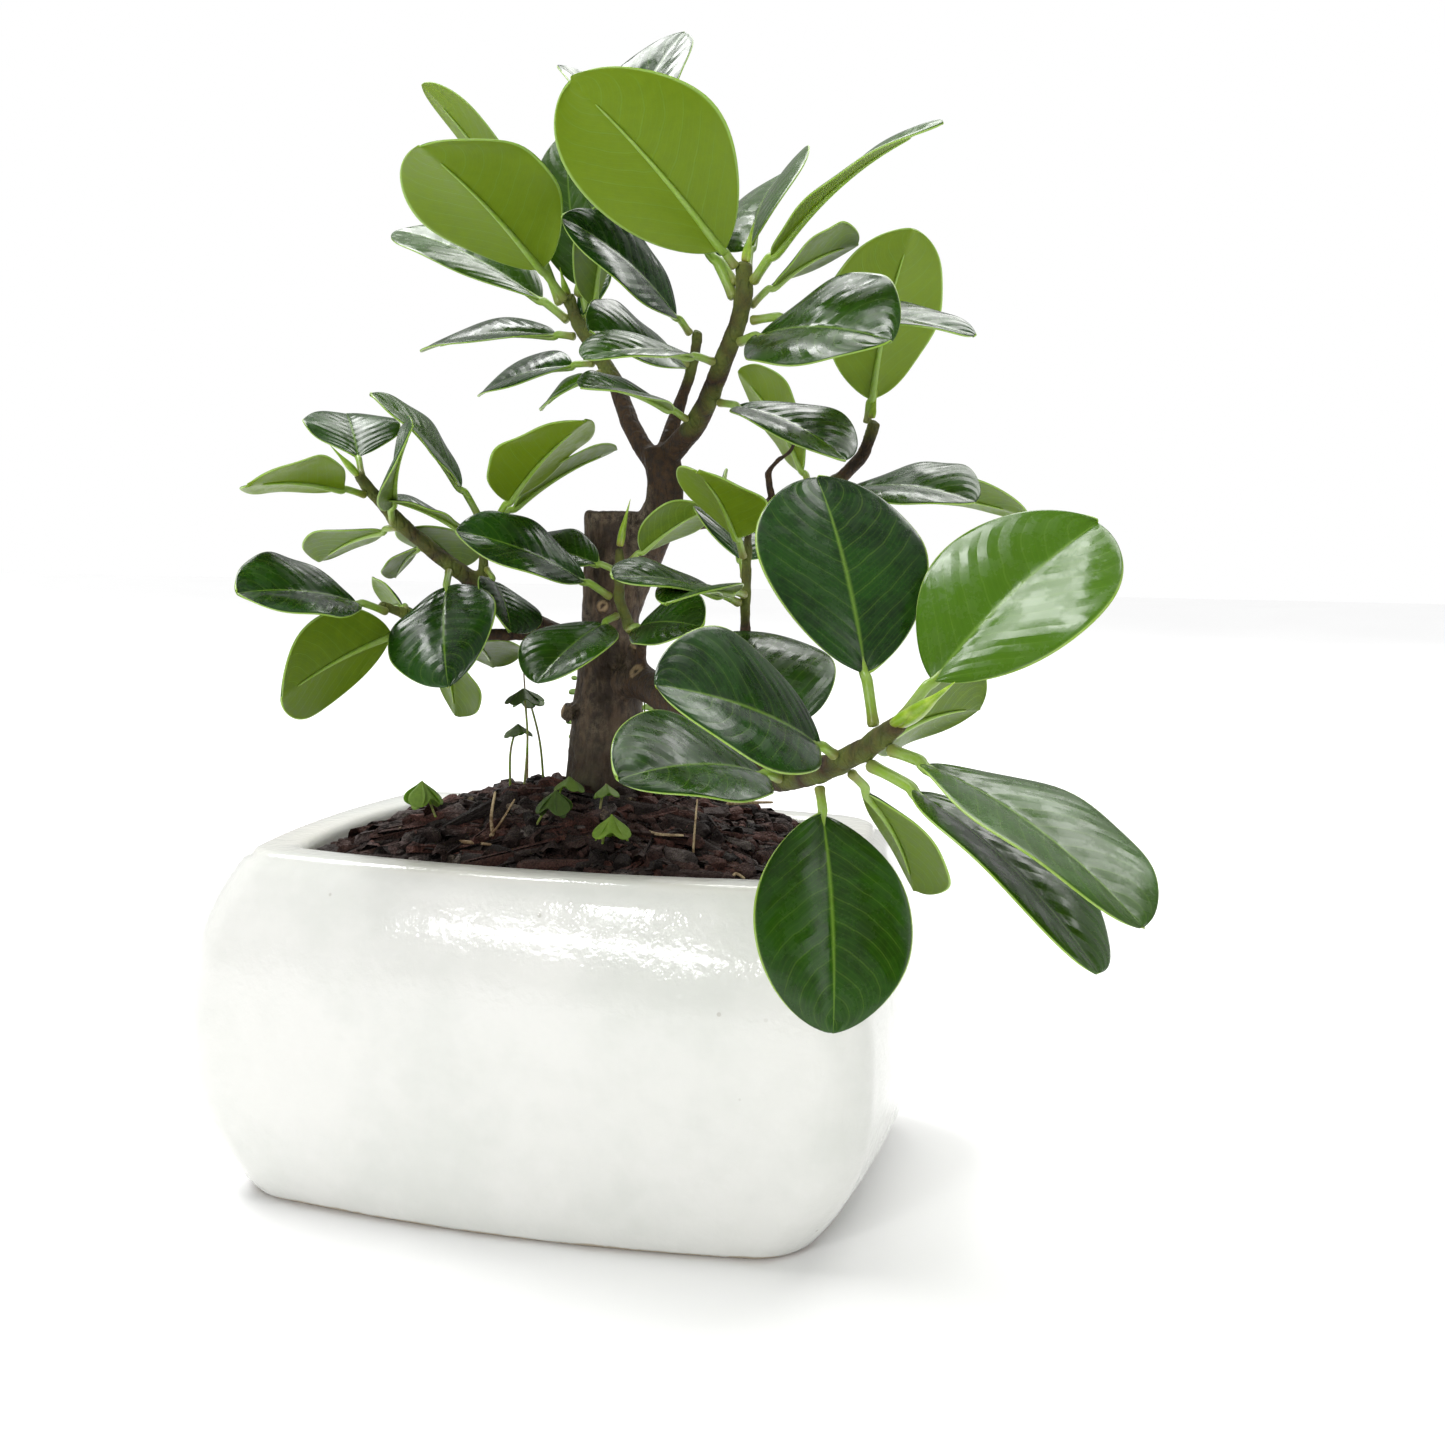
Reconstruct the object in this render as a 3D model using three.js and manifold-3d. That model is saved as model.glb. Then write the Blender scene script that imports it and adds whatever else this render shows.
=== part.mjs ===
// A small-leaved fig grown as a bonsai, standing in a glazed pot with bulging sides.
// Millimetres, +Z up. The origin is the centre of the pot's flat underside, +X runs
// along the pot's long side and -Y is its front.
import * as THREE from "three";
import { mergeVertices } from "three/addons/utils/BufferGeometryUtils.js";
import Module from "manifold-3d";

const wasm = await Module();
wasm.setup();

// The pot: a rounded rectangle at every height, widest at the belly.
const potLength = 160;
const potWidth = 113;
const potHeight = 77;
const bellyHeight = 37;
const rimInset = { x: 13, y: 7.5 };
const footInset = { x: 14, y: 5 };
const cornerRadius = 10;
const sideBow = { x: 4, y: 5.5 }; // how far each side's middle stands out past its corners
const bulge = 2.4; // the higher it is, the straighter the belly and the tighter the shoulders
const wall = 7;
const floorThickness = 7;
const lipWidth = 9.5;
const lipRound = 2.5;
const lipShoulder = 0.3; // the share of the rounding where the lip's outer ring stands
const lipDepth = 8;
const innerCornerRadius = 4;

// The drain holes and the mesh laid over each one.
const drainRadius = 6;
const drainSpacing = 70;
const meshSize = 24;
const meshThickness = 1.5;
const meshHole = 3;
const meshHolesPerSide = 4;

// The gravel: it fills the hollow, and is mounded round the trunk.
const soilBelowRim = 5;
const moundHeight = 16;
const moundPower = 1.6;

const gap = 0.3; // between pieces that touch

// The wood. Every height of the tree is over the pot's rim.
const trunkFoot = [3, 8, -5];
const trunkTop = 75; // the saw cut
const trunkLean = 2;
const trunkRadii = [11.5, 9.8, 8.3, 7.1, 6.8, 6.7]; // from the foot to the saw cut
const rootCount = 5;
const rootTurn = 20; // degrees from +X to the first root
const rootStart = 9; // over the trunk's foot
const rootDepth = 6; // of a root's tip below the gravel's edge
const rootClearance = 5; // from a root's tip to the wall of the mouth
const rootMiddle = 0.6; // how far along a root its bend is
const rootRadius = 3.6;
const rootTipRadius = 1.4;

// Each twig's centre line, with its radius where it leaves the wood and at its end.
const twigs = {
  stem: { route: [[6, 8, 51], [14, 8, 69], [18, 8, 79], [16, 8, 90]], from: 5.4, to: 4.4 },
  left: {
    route: [[15, 8, 86], [9, 10, 94], [2, 16, 107], [-7, 18, 119], [-10, 18, 126]],
    from: 2.6,
    to: 1.5,
  },
  crown: {
    route: [[16, 8, 86], [26, 2, 94], [35, -8, 107], [41, -14, 119], [41, -14, 127]],
    from: 3,
    to: 1.7,
  },
  middle: { route: [[16, 9, 87], [19, 16, 101], [21, 18, 109], [23, 16, 117]], from: 2, to: 1.3 },
  low: {
    route: [[2, 7, 42], [-8, 0, 47], [-20, -10, 57], [-35, -20, 71], [-42, -28, 82]],
    from: 3,
    to: 1.3,
  },
  lowFork: { route: [[-8, 0, 47], [-22, -17, 47], [-35, -32, 54]], from: 1.8, to: 1.1 },
  lowShoot: { route: [[-20, -10, 57], [-19, -12, 66], [-17, -14, 73]], from: 1.4, to: 1 },
  front: {
    route: [
      [6, 6, 36],
      [14, 1, 36],
      [29, -20, 33],
      [47, -44, 26],
      [61, -62, 25],
      [78, -82, 33],
      [87, -92, 40],
    ],
    from: 4.4,
    to: 1.8,
  },
  back: {
    route: [[14, 9, 73], [28, 20, 74], [44, 24, 78], [60, 20, 86], [65, 16, 96]],
    from: 2.8,
    to: 1.5,
  },
  sideShoot: { route: [[47, -44, 26], [49, -42, 43], [48, -38, 55], [48, -36, 72]], from: 1.6, to: 1 },
  nearShoot: { route: [[12, 2, 36], [16, -3, 44], [13, -10, 53], [13, -12, 67]], from: 1.8, to: 1 },
  deadSpur: { route: [[40, 23, 77], [39, 22, 86], [44, 21, 89], [47, 20, 97]], from: 1.1, to: 0.7 },
};

// The leaves on each twig: how far along it a leaf springs, its heading round +Z from +X, its rise,
// its roll about its own line, the reach from twig to tip, the stalk's length in that, and its width.
// Angles are in degrees.
const leaves = {
  left: [
    [0.98, -112, 29, -18, 54, 9, 36],
    [0.98, -175, 55, -30, 62, 12, 22],
    [0.9, 165, 24, 25, 60, 9, 24],
    [0.98, 25, 68, -30, 69, 20, 32],
    [0.84, 120, 70, 40, 52, 9, 21],
    [0.78, -48, 58, -35, 38, 6, 20],
    [0.82, 170, -4, 25, 46, 5, 18],
    [0.66, 160, -11, 35, 39, 6, 18],
  ],
  crown: [
    [0.98, -132, 37, -33, 52, 4, 36],
    [0.98, 90, 36, 35, 48, 8, 30],
    [0.92, -35, 25, -30, 58, 8, 17],
    [0.93, 150, 35, 10, 45, 8, 26],
    [0.86, 165, 50, 10, 71, 10, 30],
    [0.84, 50, 29, 25, 35, 7, 22],
    [0.72, -42, -6, -40, 52, 8, 31],
    [0.8, -8, -7, -15, 51, 7, 22],
    [0.6, -120, -4, 20, 40, 7, 18],
    [0.3, -118, 8, 22, 36, 6, 18],
    [0.44, -30, -21, -10, 42, 6, 26],
  ],
  middle: [
    [0.98, -130, 32, 55, 42, 5, 24],
    [0.75, -112, 6, 40, 37, 5, 26],
  ],
  back: [
    [0.98, -45, 74, 5, 44, 5, 31],
    [0.7, -38, -5, -20, 46, 6, 26],
    [0.65, 20, -5, 15, 51, 8, 22],
  ],
  sideShoot: [
    [0.86, -102, 38, 15, 27, 5, 22],
    [0.78, 115, 25, -20, 30, 6, 20],
    [0.66, -120, 9, 20, 36, 6, 16],
  ],
  nearShoot: [
    [0.9, 0, 32, 20, 24, 4, 18],
    [0.7, -145, 21, 32, 39, 7, 24],
    [0.6, -108, -25, 5, 33, 5, 22],
  ],
  low: [
    [0.94, -112, 0, -20, 32, 6, 22],
    [0.98, 125, 35, 0, 28, 6, 22],
    [0.78, 85, -20, 0, 28, 4, 22],
    [0.58, -68, -37, -25, 40, 7, 26],
  ],
  lowShoot: [
    [0.96, -140, 47, 25, 37, 8, 22],
    [0.98, -22, 36, -5, 35, 6, 29],
    [0.7, -135, 20, 10, 25, 4, 16],
    [0.3, -45, -40, 30, 21, 4, 21],
  ],
  lowFork: [
    [0.97, -114, 6, 30, 37, 8, 25],
    [0.8, -106, -20, -72, 42, 6, 24],
  ],
  front: [
    [0.94, 124, 59, 5, 52, 9, 31],
    [0.98, 32, 43, -30, 50, 8, 34],
    [0.87, -123, 19, 50, 46, 5, 28],
    [0.79, 132, 29, 0, 46, 8, 30],
    [0.72, -115, 7, 30, 47, 6, 26],
    [0.79, -70, -64, 10, 46, 5, 29],
    [0.84, 65, -45, -25, 38, 6, 26],
    [0.88, 55, 12, 45, 33, 7, 28],
    [0.96, -40, -21, 5, 58, 8, 29],
    [0.91, -43, -25, 15, 60, 12, 27],
  ],
};
const leafThickness = 0.9;
const bladeStations = [0.08, 0.22, 0.4, 0.6, 0.78, 0.92]; // where along the blade its rings stand
const leafFold = 0.14; // rise of each margin over the midrib, as a share of the half width
const leafArch = 0.06; // the midrib's arch over a straight line, as a share of the reach
const stalkThickness = 1.2;
const stalkStations = [0.15, 0.6, 1]; // where along the stalk its rings stand

// The pointed sheaths that the next leaves open from, at the ends of two twigs.
const buds = {
  bud_front: { twig: "front", length: 18, radius: 1.7 },
  bud_low: { twig: "low", length: 9, radius: 1.1 },
};

// Half a sheath's section, in shares of its radius and its length.
const budOutline = [[0, 0], [0.75, 0.03], [1, 0.25], [0.75, 0.6], [0.35, 0.88], [0, 1]];

// Clover weeds: where each one stands, the height of its stalk and the length of its leaflets.
const weeds = {
  clover_front: { spot: [14, -26], height: 9, bend: 3, leaflet: 6 },
  clover_left: { spot: [-28, -18], height: 9, bend: -3, leaflet: 6 },
  clover_back: { spot: [-13, 10], height: 22, bend: -4, leaflet: 4 },
};
const weedStalkRadius = 0.6;
const weedStalkTipRadius = 0.5;
const leafletTilt = 0.3; // a leaflet's rise for each mm out
const leafletStart = -0.3; // from the top of the stalk, so that each leaflet grips it
const leafletTurns = [30, 150, 270];
const leafletStalk = 0.15; // as shares of the leaflet's length
const leafletWidth = 0.95;

const glaze = new THREE.MeshStandardMaterial({ color: 0xeef0ec, roughness: 0.15 });
const plasticMesh = new THREE.MeshStandardMaterial({ color: 0x2b2c2c, roughness: 0.6 });
const gravel = new THREE.MeshStandardMaterial({ color: 0x3b2420, roughness: 0.95 });
const bark = new THREE.MeshStandardMaterial({ color: 0x5b4a3c, roughness: 0.85 });
const leafGreen = new THREE.MeshStandardMaterial({ color: 0x2f5a2a, roughness: 0.3 });
const youngGreen = new THREE.MeshStandardMaterial({ color: 0x9fbf4a, roughness: 0.45 });

// How many steps the round shapes are made with.
const cornerSteps = 3;
const sideSteps = 4;
const bodySteps = 11;
const hollowSteps = 5;
const moundSteps = 6;
const drainSides = 24;
const trunkSides = 12;
const trunkSteps = 8;
const rootSides = 7;
const thinTwig = 2.5; // radius up to which a twig has the fewer sides
const twigSides = { thick: 9, thin: 7 };
const weedStalkSides = 5;
const budSides = 8;

const group = new THREE.Group();
const up = new THREE.Vector3(0, 0, 1);
const degree = Math.PI / 180;
const steps = (from, to, count) =>
  Array.from({ length: count + 1 }, (_, i) => from + ((to - from) * i) / count);

function place(name, geometry, material) {
  const mesh = new THREE.Mesh(geometry, material);
  mesh.name = name;
  group.add(mesh);
  return mesh;
}

// A closed body through rings of points, from a first point to a last one. Each ring runs
// anticlockwise, seen from its end.
function loft(first, rings, last) {
  const around = rings[0].length;
  const points = [first, ...rings.flat(), last];
  const at = (ring, i) => 1 + ring * around + (i % around);
  const faces = [];
  for (let i = 0; i < around; i++) {
    faces.push(0, at(0, i + 1), at(0, i));
    faces.push(points.length - 1, at(rings.length - 1, i), at(rings.length - 1, i + 1));
    for (let ring = 0; ring < rings.length - 1; ring++) {
      faces.push(at(ring, i), at(ring, i + 1), at(ring + 1, i + 1));
      faces.push(at(ring, i), at(ring + 1, i + 1), at(ring + 1, i));
    }
  }
  return new THREE.BufferGeometry().setFromPoints(points).setIndex(faces);
}

function solidOf(geometry) {
  const bare = geometry.clone();
  bare.deleteAttribute("normal");
  bare.deleteAttribute("uv");
  const merged = mergeVertices(bare, 1e-4);
  return new wasm.Manifold(
    new wasm.Mesh({
      numProp: 3,
      vertProperties: merged.attributes.position.array,
      triVerts: new Uint32Array(merged.index.array),
    }),
  );
}

function geometryOf(solid) {
  const mesh = solid.getMesh();
  const positions = new THREE.BufferAttribute(mesh.vertProperties, 3);
  const geometry = new THREE.BufferGeometry().setAttribute("position", positions);
  return geometry.setIndex(new THREE.BufferAttribute(mesh.triVerts, 1));
}

const join = (solids) => solids.reduce((whole, solid) => whole.add(solid));

// ---- The pot ----

// A rectangle with round corners, whose sides bow out to the half length and half width.
function potOutline(halfX, halfY, radius, z) {
  const corners = [[1, 1], [-1, 1], [-1, -1], [1, -1]].map(([signX, signY], corner) =>
    steps(0, 1, cornerSteps).map((u) => {
      const angle = (corner + u) * 90 * degree;
      const x = signX * (halfX - radius) + radius * Math.cos(angle);
      return new THREE.Vector3(x, signY * (halfY - radius) + radius * Math.sin(angle), z);
    }),
  );
  const points = corners.flatMap((corner, i) => {
    const next = corners[(i + 1) % corners.length][0];
    const side = steps(0, 1, sideSteps).slice(1, -1);
    return [...corner, ...side.map((u) => corner.at(-1).clone().lerp(next, u))];
  });
  return points.map(({ x, y }) => {
    const inX = (sideBow.x * x * y * y) / (halfX * halfY * halfY);
    const inY = (sideBow.y * y * x * x) / (halfY * halfX * halfX);
    return new THREE.Vector3(x - inX, y - inY, z);
  });
}

// The pot's half length or half width at a height.
function potHalf(z, axis) {
  const belly = (axis === "x" ? potLength : potWidth) / 2;
  const end = belly - (z < bellyHeight ? footInset : rimInset)[axis];
  const span = z < bellyHeight ? bellyHeight : potHeight - bellyHeight;
  const share = Math.abs(z - bellyHeight) / span;
  return end + (belly - end) * (1 - share ** bulge);
}

function potRing(z, inset) {
  const radius = Math.max(cornerRadius - inset, innerCornerRadius);
  return potOutline(potHalf(z, "x") - inset, potHalf(z, "y") - inset, radius, z);
}

// The mouth inside the lip, and the hollow's wall from the floor to below the lip.
const lipUnderside = potHeight - lipRound - lipDepth;
const mouthHalf = (axis) => potHalf(potHeight, axis) - lipWidth;
const mouthRing = (z, spare) =>
  potOutline(mouthHalf("x") - spare, mouthHalf("y") - spare, innerCornerRadius, z);

function hollowRings(spare) {
  const heights = steps(floorThickness + spare, lipUnderside - wall, hollowSteps);
  return heights.map((z) => potRing(z, wall + spare));
}

function potBody() {
  const outside = steps(0, potHeight - lipRound, bodySteps).map((z) => potRing(z, 0));
  const drop = lipRound * lipShoulder;
  const shoulder = potRing(potHeight, drop).map((p) => p.setZ(potHeight - drop));
  const top = [shoulder, potRing(potHeight, lipRound), mouthRing(potHeight, -lipRound)];
  const mouth = [mouthRing(potHeight - lipRound, 0), mouthRing(lipUnderside, 0)];
  const rings = [...outside, ...top, ...mouth, ...hollowRings(0).reverse()];
  const shell = solidOf(loft(new THREE.Vector3(), rings, new THREE.Vector3(0, 0, floorThickness)));
  return [-1, 1].reduce((body, side) => {
    const hole = new THREE.CylinderGeometry(drainRadius, drainRadius, floorThickness * 3, drainSides);
    hole.rotateX(90 * degree).translate((side * drainSpacing) / 2, 0, 0);
    return body.subtract(solidOf(hole));
  }, shell);
}

function drainMesh(side) {
  const pitch = meshSize / meshHolesPerSide;
  const holes = [];
  for (let row = 0; row < meshHolesPerSide; row++) {
    for (let column = 0; column < meshHolesPerSide; column++) {
      const hole = new THREE.BoxGeometry(meshHole, meshHole, meshThickness * 3);
      const x = (column + 0.5) * pitch - meshSize / 2;
      const y = (row + 0.5) * pitch - meshSize / 2;
      holes.push(solidOf(hole.translate(x, y, 0)));
    }
  }
  const plate = solidOf(new THREE.BoxGeometry(meshSize, meshSize, meshThickness)).subtract(join(holes));
  const height = floorThickness + gap + meshThickness / 2;
  return geometryOf(plate).translate((side * drainSpacing) / 2, 0, height);
}

// ---- The wood ----

// A tapered tube along a smooth line. The radii are spread evenly along it.
function limb(route, radii, sides, stepCount = (route.length - 1) * 2) {
  const curve = new THREE.CatmullRomCurve3(route);
  const frames = curve.computeFrenetFrames(stepCount, false);
  const rings = steps(0, 1, stepCount).map((u, i) => {
    const station = u * (radii.length - 1);
    const before = Math.min(Math.floor(station), radii.length - 2);
    const radius = THREE.MathUtils.lerp(radii[before], radii[before + 1], station - before);
    const centre = curve.getPointAt(u);
    return Array.from({ length: sides }, (_, k) => {
      const angle = (k / sides) * 360 * degree;
      return centre
        .clone()
        .addScaledVector(frames.normals[i], radius * Math.cos(angle))
        .addScaledVector(frames.binormals[i], radius * Math.sin(angle));
    });
  });
  return loft(curve.getPointAt(0), rings, curve.getPointAt(1));
}

const overRim = ([x, y, z]) => new THREE.Vector3(x, y, potHeight + z);
const foot = overRim(trunkFoot);
const edgeZ = potHeight - soilBelowRim; // where the gravel meets the pot
const twigRoute = (name) => twigs[name].route.map(overRim);

// How far the mouth's wall is from the trunk's foot along a level line.
function wayToWall(out) {
  const way = (axis) => (mouthHalf(axis) - foot[axis] * Math.sign(out[axis])) / Math.abs(out[axis]);
  return Math.min(way("x"), way("y"));
}

// The part of the wood that stands in the gravel, larger all round by what is spare.
function woodInSoil(spare) {
  const trunkRoute = steps(0, 1, trunkRadii.length - 1).map((u) => {
    const z = THREE.MathUtils.lerp(foot.z - spare, potHeight + trunkTop, u);
    return new THREE.Vector3(foot.x + trunkLean * u, foot.y, z);
  });
  const trunk = limb(trunkRoute, trunkRadii.map((r) => r + spare), trunkSides, trunkSteps);
  const roots = Array.from({ length: rootCount }, (_, i) => {
    const angle = (rootTurn + (i / rootCount) * 360) * degree;
    const out = new THREE.Vector3(Math.cos(angle), Math.sin(angle), 0);
    const reach = wayToWall(out) - rootClearance - Math.max(sideBow.x, sideBow.y);
    const start = foot.clone().addScaledVector(up, rootStart);
    const end = foot.clone().addScaledVector(out, reach + spare).setZ(edgeZ - rootDepth);
    const middle = start.clone().lerp(end, rootMiddle).addScaledVector(up, rootDepth / 2);
    return limb([start, middle, end], [rootRadius + spare, rootTipRadius + spare], rootSides);
  });
  return join([trunk, ...roots].map(solidOf));
}

function woodBody() {
  const limbs = Object.entries(twigs).map(([name, { from, to }]) =>
    solidOf(limb(twigRoute(name), [from, to], from > thinTwig ? twigSides.thick : twigSides.thin)),
  );
  return join([woodInSoil(0), ...limbs]);
}

// ---- The gravel ----

// The mound's height over the gravel's edge, from 0 at the edge to 1 at the trunk.
const moundAt = (share) => moundHeight * (1 - (1 - share) ** moundPower);

function soilBody() {
  const edge = mouthRing(edgeZ, gap);
  const peak = foot.clone().setZ(edgeZ);
  const shares = steps(0, 1, moundSteps + 1).slice(1, -1);
  const mound = shares.map((share) =>
    edge.map((p) => p.clone().lerp(peak, share).addScaledVector(up, moundAt(share))),
  );
  const rings = [...hollowRings(gap), mouthRing(lipUnderside - gap, gap), edge, ...mound];
  const bottom = new THREE.Vector3(0, 0, floorThickness + gap);
  const heap = solidOf(loft(bottom, rings, peak.clone().addScaledVector(up, moundHeight)));
  const size = meshSize + 2 * gap;
  const meshRoom = [-1, 1].map((side) => {
    const room = new THREE.BoxGeometry(size, size, 2 * (meshThickness + 2 * gap));
    return solidOf(room.translate((side * drainSpacing) / 2, 0, floorThickness));
  });
  return heap.subtract(join([woodInSoil(gap), ...meshRoom]));
}

// ---- The leaves ----

// Half the blade's width along its length, from 0 at the stalk to 1 at the tip.
const bladeOutline = (u) => Math.sin(Math.PI * u ** 1.1) ** 0.56;

function leafBody(start, tip, leafUp, stalk, width) {
  const along = tip.clone().sub(start);
  const reach = along.length();
  const side = along.clone().cross(leafUp).normalize();
  const upward = side.clone().cross(along).normalize();
  const ring = (t, halfWidth, rise, thickness) => {
    const arch = leafArch * reach * 4 * t * (1 - t);
    const centre = start.clone().addScaledVector(along, t).addScaledVector(upward, arch);
    const edge = (sign) =>
      centre.clone().addScaledVector(side, sign * halfWidth).addScaledVector(upward, rise);
    const face = (sign) => centre.clone().addScaledVector(upward, (sign * thickness) / 2);
    return [edge(1), face(-1), edge(-1), face(1)];
  };
  const stalkEnd = stalk / reach;
  const rings = stalkStations.map((u) => ring(stalkEnd * u, stalkThickness / 2, 0, stalkThickness));
  bladeStations.forEach((u) => {
    const half = (width / 2) * bladeOutline(u);
    rings.push(ring(stalkEnd + (1 - stalkEnd) * u, half, leafFold * half, leafThickness));
  });
  return loft(start, rings, tip);
}

// Where a leaf leaves its twig, and how the leaf lies.
function leafOnTwig(name, [share, heading, rise, roll, reach, stalk, width]) {
  const curve = new THREE.CatmullRomCurve3(twigRoute(name));
  const centre = curve.getPointAt(share);
  const tangent = curve.getTangentAt(share);
  const radius = THREE.MathUtils.lerp(twigs[name].from, twigs[name].to, share);
  const line = new THREE.Vector3(Math.cos(heading * degree), Math.sin(heading * degree), 0);
  line.multiplyScalar(Math.cos(rise * degree)).addScaledVector(up, Math.sin(rise * degree));
  const out = line.clone().addScaledVector(tangent, -line.dot(tangent)).normalize();
  const start = centre.clone().addScaledVector(out, radius + gap + stalkThickness / 2);
  const side = line.clone().cross(up).normalize();
  const leafUp = side.clone().cross(line).multiplyScalar(Math.cos(roll * degree));
  leafUp.addScaledVector(side, -Math.sin(roll * degree));
  return leafBody(start, centre.clone().addScaledVector(line, reach), leafUp, stalk, width);
}

// ---- Buds and weeds ----

function budBody({ twig, length, radius }) {
  const curve = new THREE.CatmullRomCurve3(twigRoute(twig));
  const start = curve.getPointAt(1).addScaledVector(curve.getTangentAt(1), gap);
  const profile = budOutline.map(([r, t]) => new THREE.Vector2(r * radius, t * length));
  const bud = new THREE.LatheGeometry(profile, budSides);
  const axis = new THREE.Vector3(0, 1, 0);
  const turn = new THREE.Quaternion().setFromUnitVectors(axis, curve.getTangentAt(1));
  return bud.applyQuaternion(turn).translate(start.x, start.y, start.z);
}

// The gravel's height at a place on the mound.
function soilHeight(x, y) {
  const away = new THREE.Vector3(x - foot.x, y - foot.y, 0);
  return edgeZ + moundAt(1 - away.length() / wayToWall(away.clone().normalize()));
}

function weedBody({ spot: [x, y], height, bend, leaflet }) {
  const start = new THREE.Vector3(x, y, soilHeight(x, y) + gap);
  const top = start.clone().add(new THREE.Vector3(bend, 0, height));
  const middle = start.clone().lerp(top, 0.5).add(new THREE.Vector3(-bend * 0.3, 0, 0));
  const stalk = limb([start, middle, top], [weedStalkRadius, weedStalkTipRadius], weedStalkSides);
  const leaflets = leafletTurns.map((turn) => {
    const out = new THREE.Vector3(Math.cos(turn * degree), Math.sin(turn * degree), leafletTilt);
    const base = top.clone().addScaledVector(out, leafletStart);
    const tip = top.clone().addScaledVector(out, leaflet);
    return leafBody(base, tip, up, leaflet * leafletStalk, leaflet * leafletWidth);
  });
  return join([stalk, ...leaflets].map(solidOf));
}

place("pot", geometryOf(potBody()), glaze);
place("drain_mesh_left", drainMesh(-1), plasticMesh);
place("drain_mesh_right", drainMesh(1), plasticMesh);
place("gravel_soil", geometryOf(soilBody()), gravel);
place("wood", geometryOf(woodBody()), bark);
Object.entries(leaves).forEach(([twig, rows]) =>
  rows.forEach((row, i) => place(`leaf_${twig}_${i + 1}`, leafOnTwig(twig, row), leafGreen)),
);
Object.entries(buds).forEach(([name, bud]) => place(name, budBody(bud), youngGreen));
Object.entries(weeds).forEach(([name, weed]) => place(name, geometryOf(weedBody(weed)), youngGreen));

export default group;
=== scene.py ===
import math
import random

import bmesh
import bpy
from mathutils import Matrix, Vector, kdtree, noise
from mathutils.bvhtree import BVHTree


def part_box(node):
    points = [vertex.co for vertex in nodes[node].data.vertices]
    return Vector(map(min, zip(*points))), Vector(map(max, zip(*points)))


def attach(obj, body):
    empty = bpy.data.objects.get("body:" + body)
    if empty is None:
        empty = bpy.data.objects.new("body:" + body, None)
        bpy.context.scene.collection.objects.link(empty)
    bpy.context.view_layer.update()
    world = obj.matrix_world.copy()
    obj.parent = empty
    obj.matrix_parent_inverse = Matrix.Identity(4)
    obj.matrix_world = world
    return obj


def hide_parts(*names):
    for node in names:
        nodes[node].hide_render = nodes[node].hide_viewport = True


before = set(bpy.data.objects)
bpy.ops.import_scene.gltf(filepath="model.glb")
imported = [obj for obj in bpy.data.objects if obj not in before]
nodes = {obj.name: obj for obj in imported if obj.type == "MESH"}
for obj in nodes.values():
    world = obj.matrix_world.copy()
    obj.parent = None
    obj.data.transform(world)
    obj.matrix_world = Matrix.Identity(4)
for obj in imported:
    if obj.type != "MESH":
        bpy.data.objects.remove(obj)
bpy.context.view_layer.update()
mm = 0.001
upright = Vector((0, 0, 1))
print("frame: %d parts loaded" % len(nodes))


def addObject(name, data):
    made = bpy.data.objects.new(name, data)
    bpy.context.scene.collection.objects.link(made)
    return made


def addPiece(name, bm, materials, replaced=()):
    mesh = bpy.data.meshes.new(name)
    bm.to_mesh(mesh)
    bm.free()
    for material in materials:
        mesh.materials.append(material)
    mesh.shade_smooth()
    piece = addObject(name, mesh)
    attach(piece, "root")
    if replaced:
        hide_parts(*replaced)
    return piece


def smoothEdges(piece, levels):
    rounding = piece.modifiers.new("rounding", "SUBSURF")
    rounding.levels = levels
    rounding.render_levels = levels


def mergedCopy(node):
    bm = bmesh.new()
    bm.from_mesh(node.data)
    bmesh.ops.remove_doubles(bm, verts=bm.verts, dist=0.02 * mm)
    return bm


def direction(heading, rise):
    flat = math.cos(math.radians(rise))
    angle = math.radians(heading)
    return Vector((math.cos(angle) * flat, math.sin(angle) * flat, math.sin(math.radians(rise))))


def smoothPath(points, stepsPerSpan=4):
    points = [Vector(p) for p in points]
    padded = [points[0] * 2 - points[1], *points, points[-1] * 2 - points[-2]]
    path = []
    for a, b, c, d in zip(padded, padded[1:], padded[2:], padded[3:]):
        for step in range(stepsPerSpan):
            t = step / stepsPerSpan
            bend = (2 * a - 5 * b + 4 * c - d) * t * t + (3 * b - a - 3 * c + d) * t**3
            path.append((2 * b + (c - a) * t + bend) / 2)
    return path + [points[-1]]


def extrudeRing(bm, edges):
    made = bmesh.ops.extrude_edge_only(bm, edges=edges)["geom"]
    verts = [g for g in made if isinstance(g, bmesh.types.BMVert)]
    faces = [g for g in made if isinstance(g, bmesh.types.BMFace)]
    ring = set(verts)
    edges = [g for g in made if isinstance(g, bmesh.types.BMEdge) and ring.issuperset(g.verts)]
    return verts, edges, faces


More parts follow.
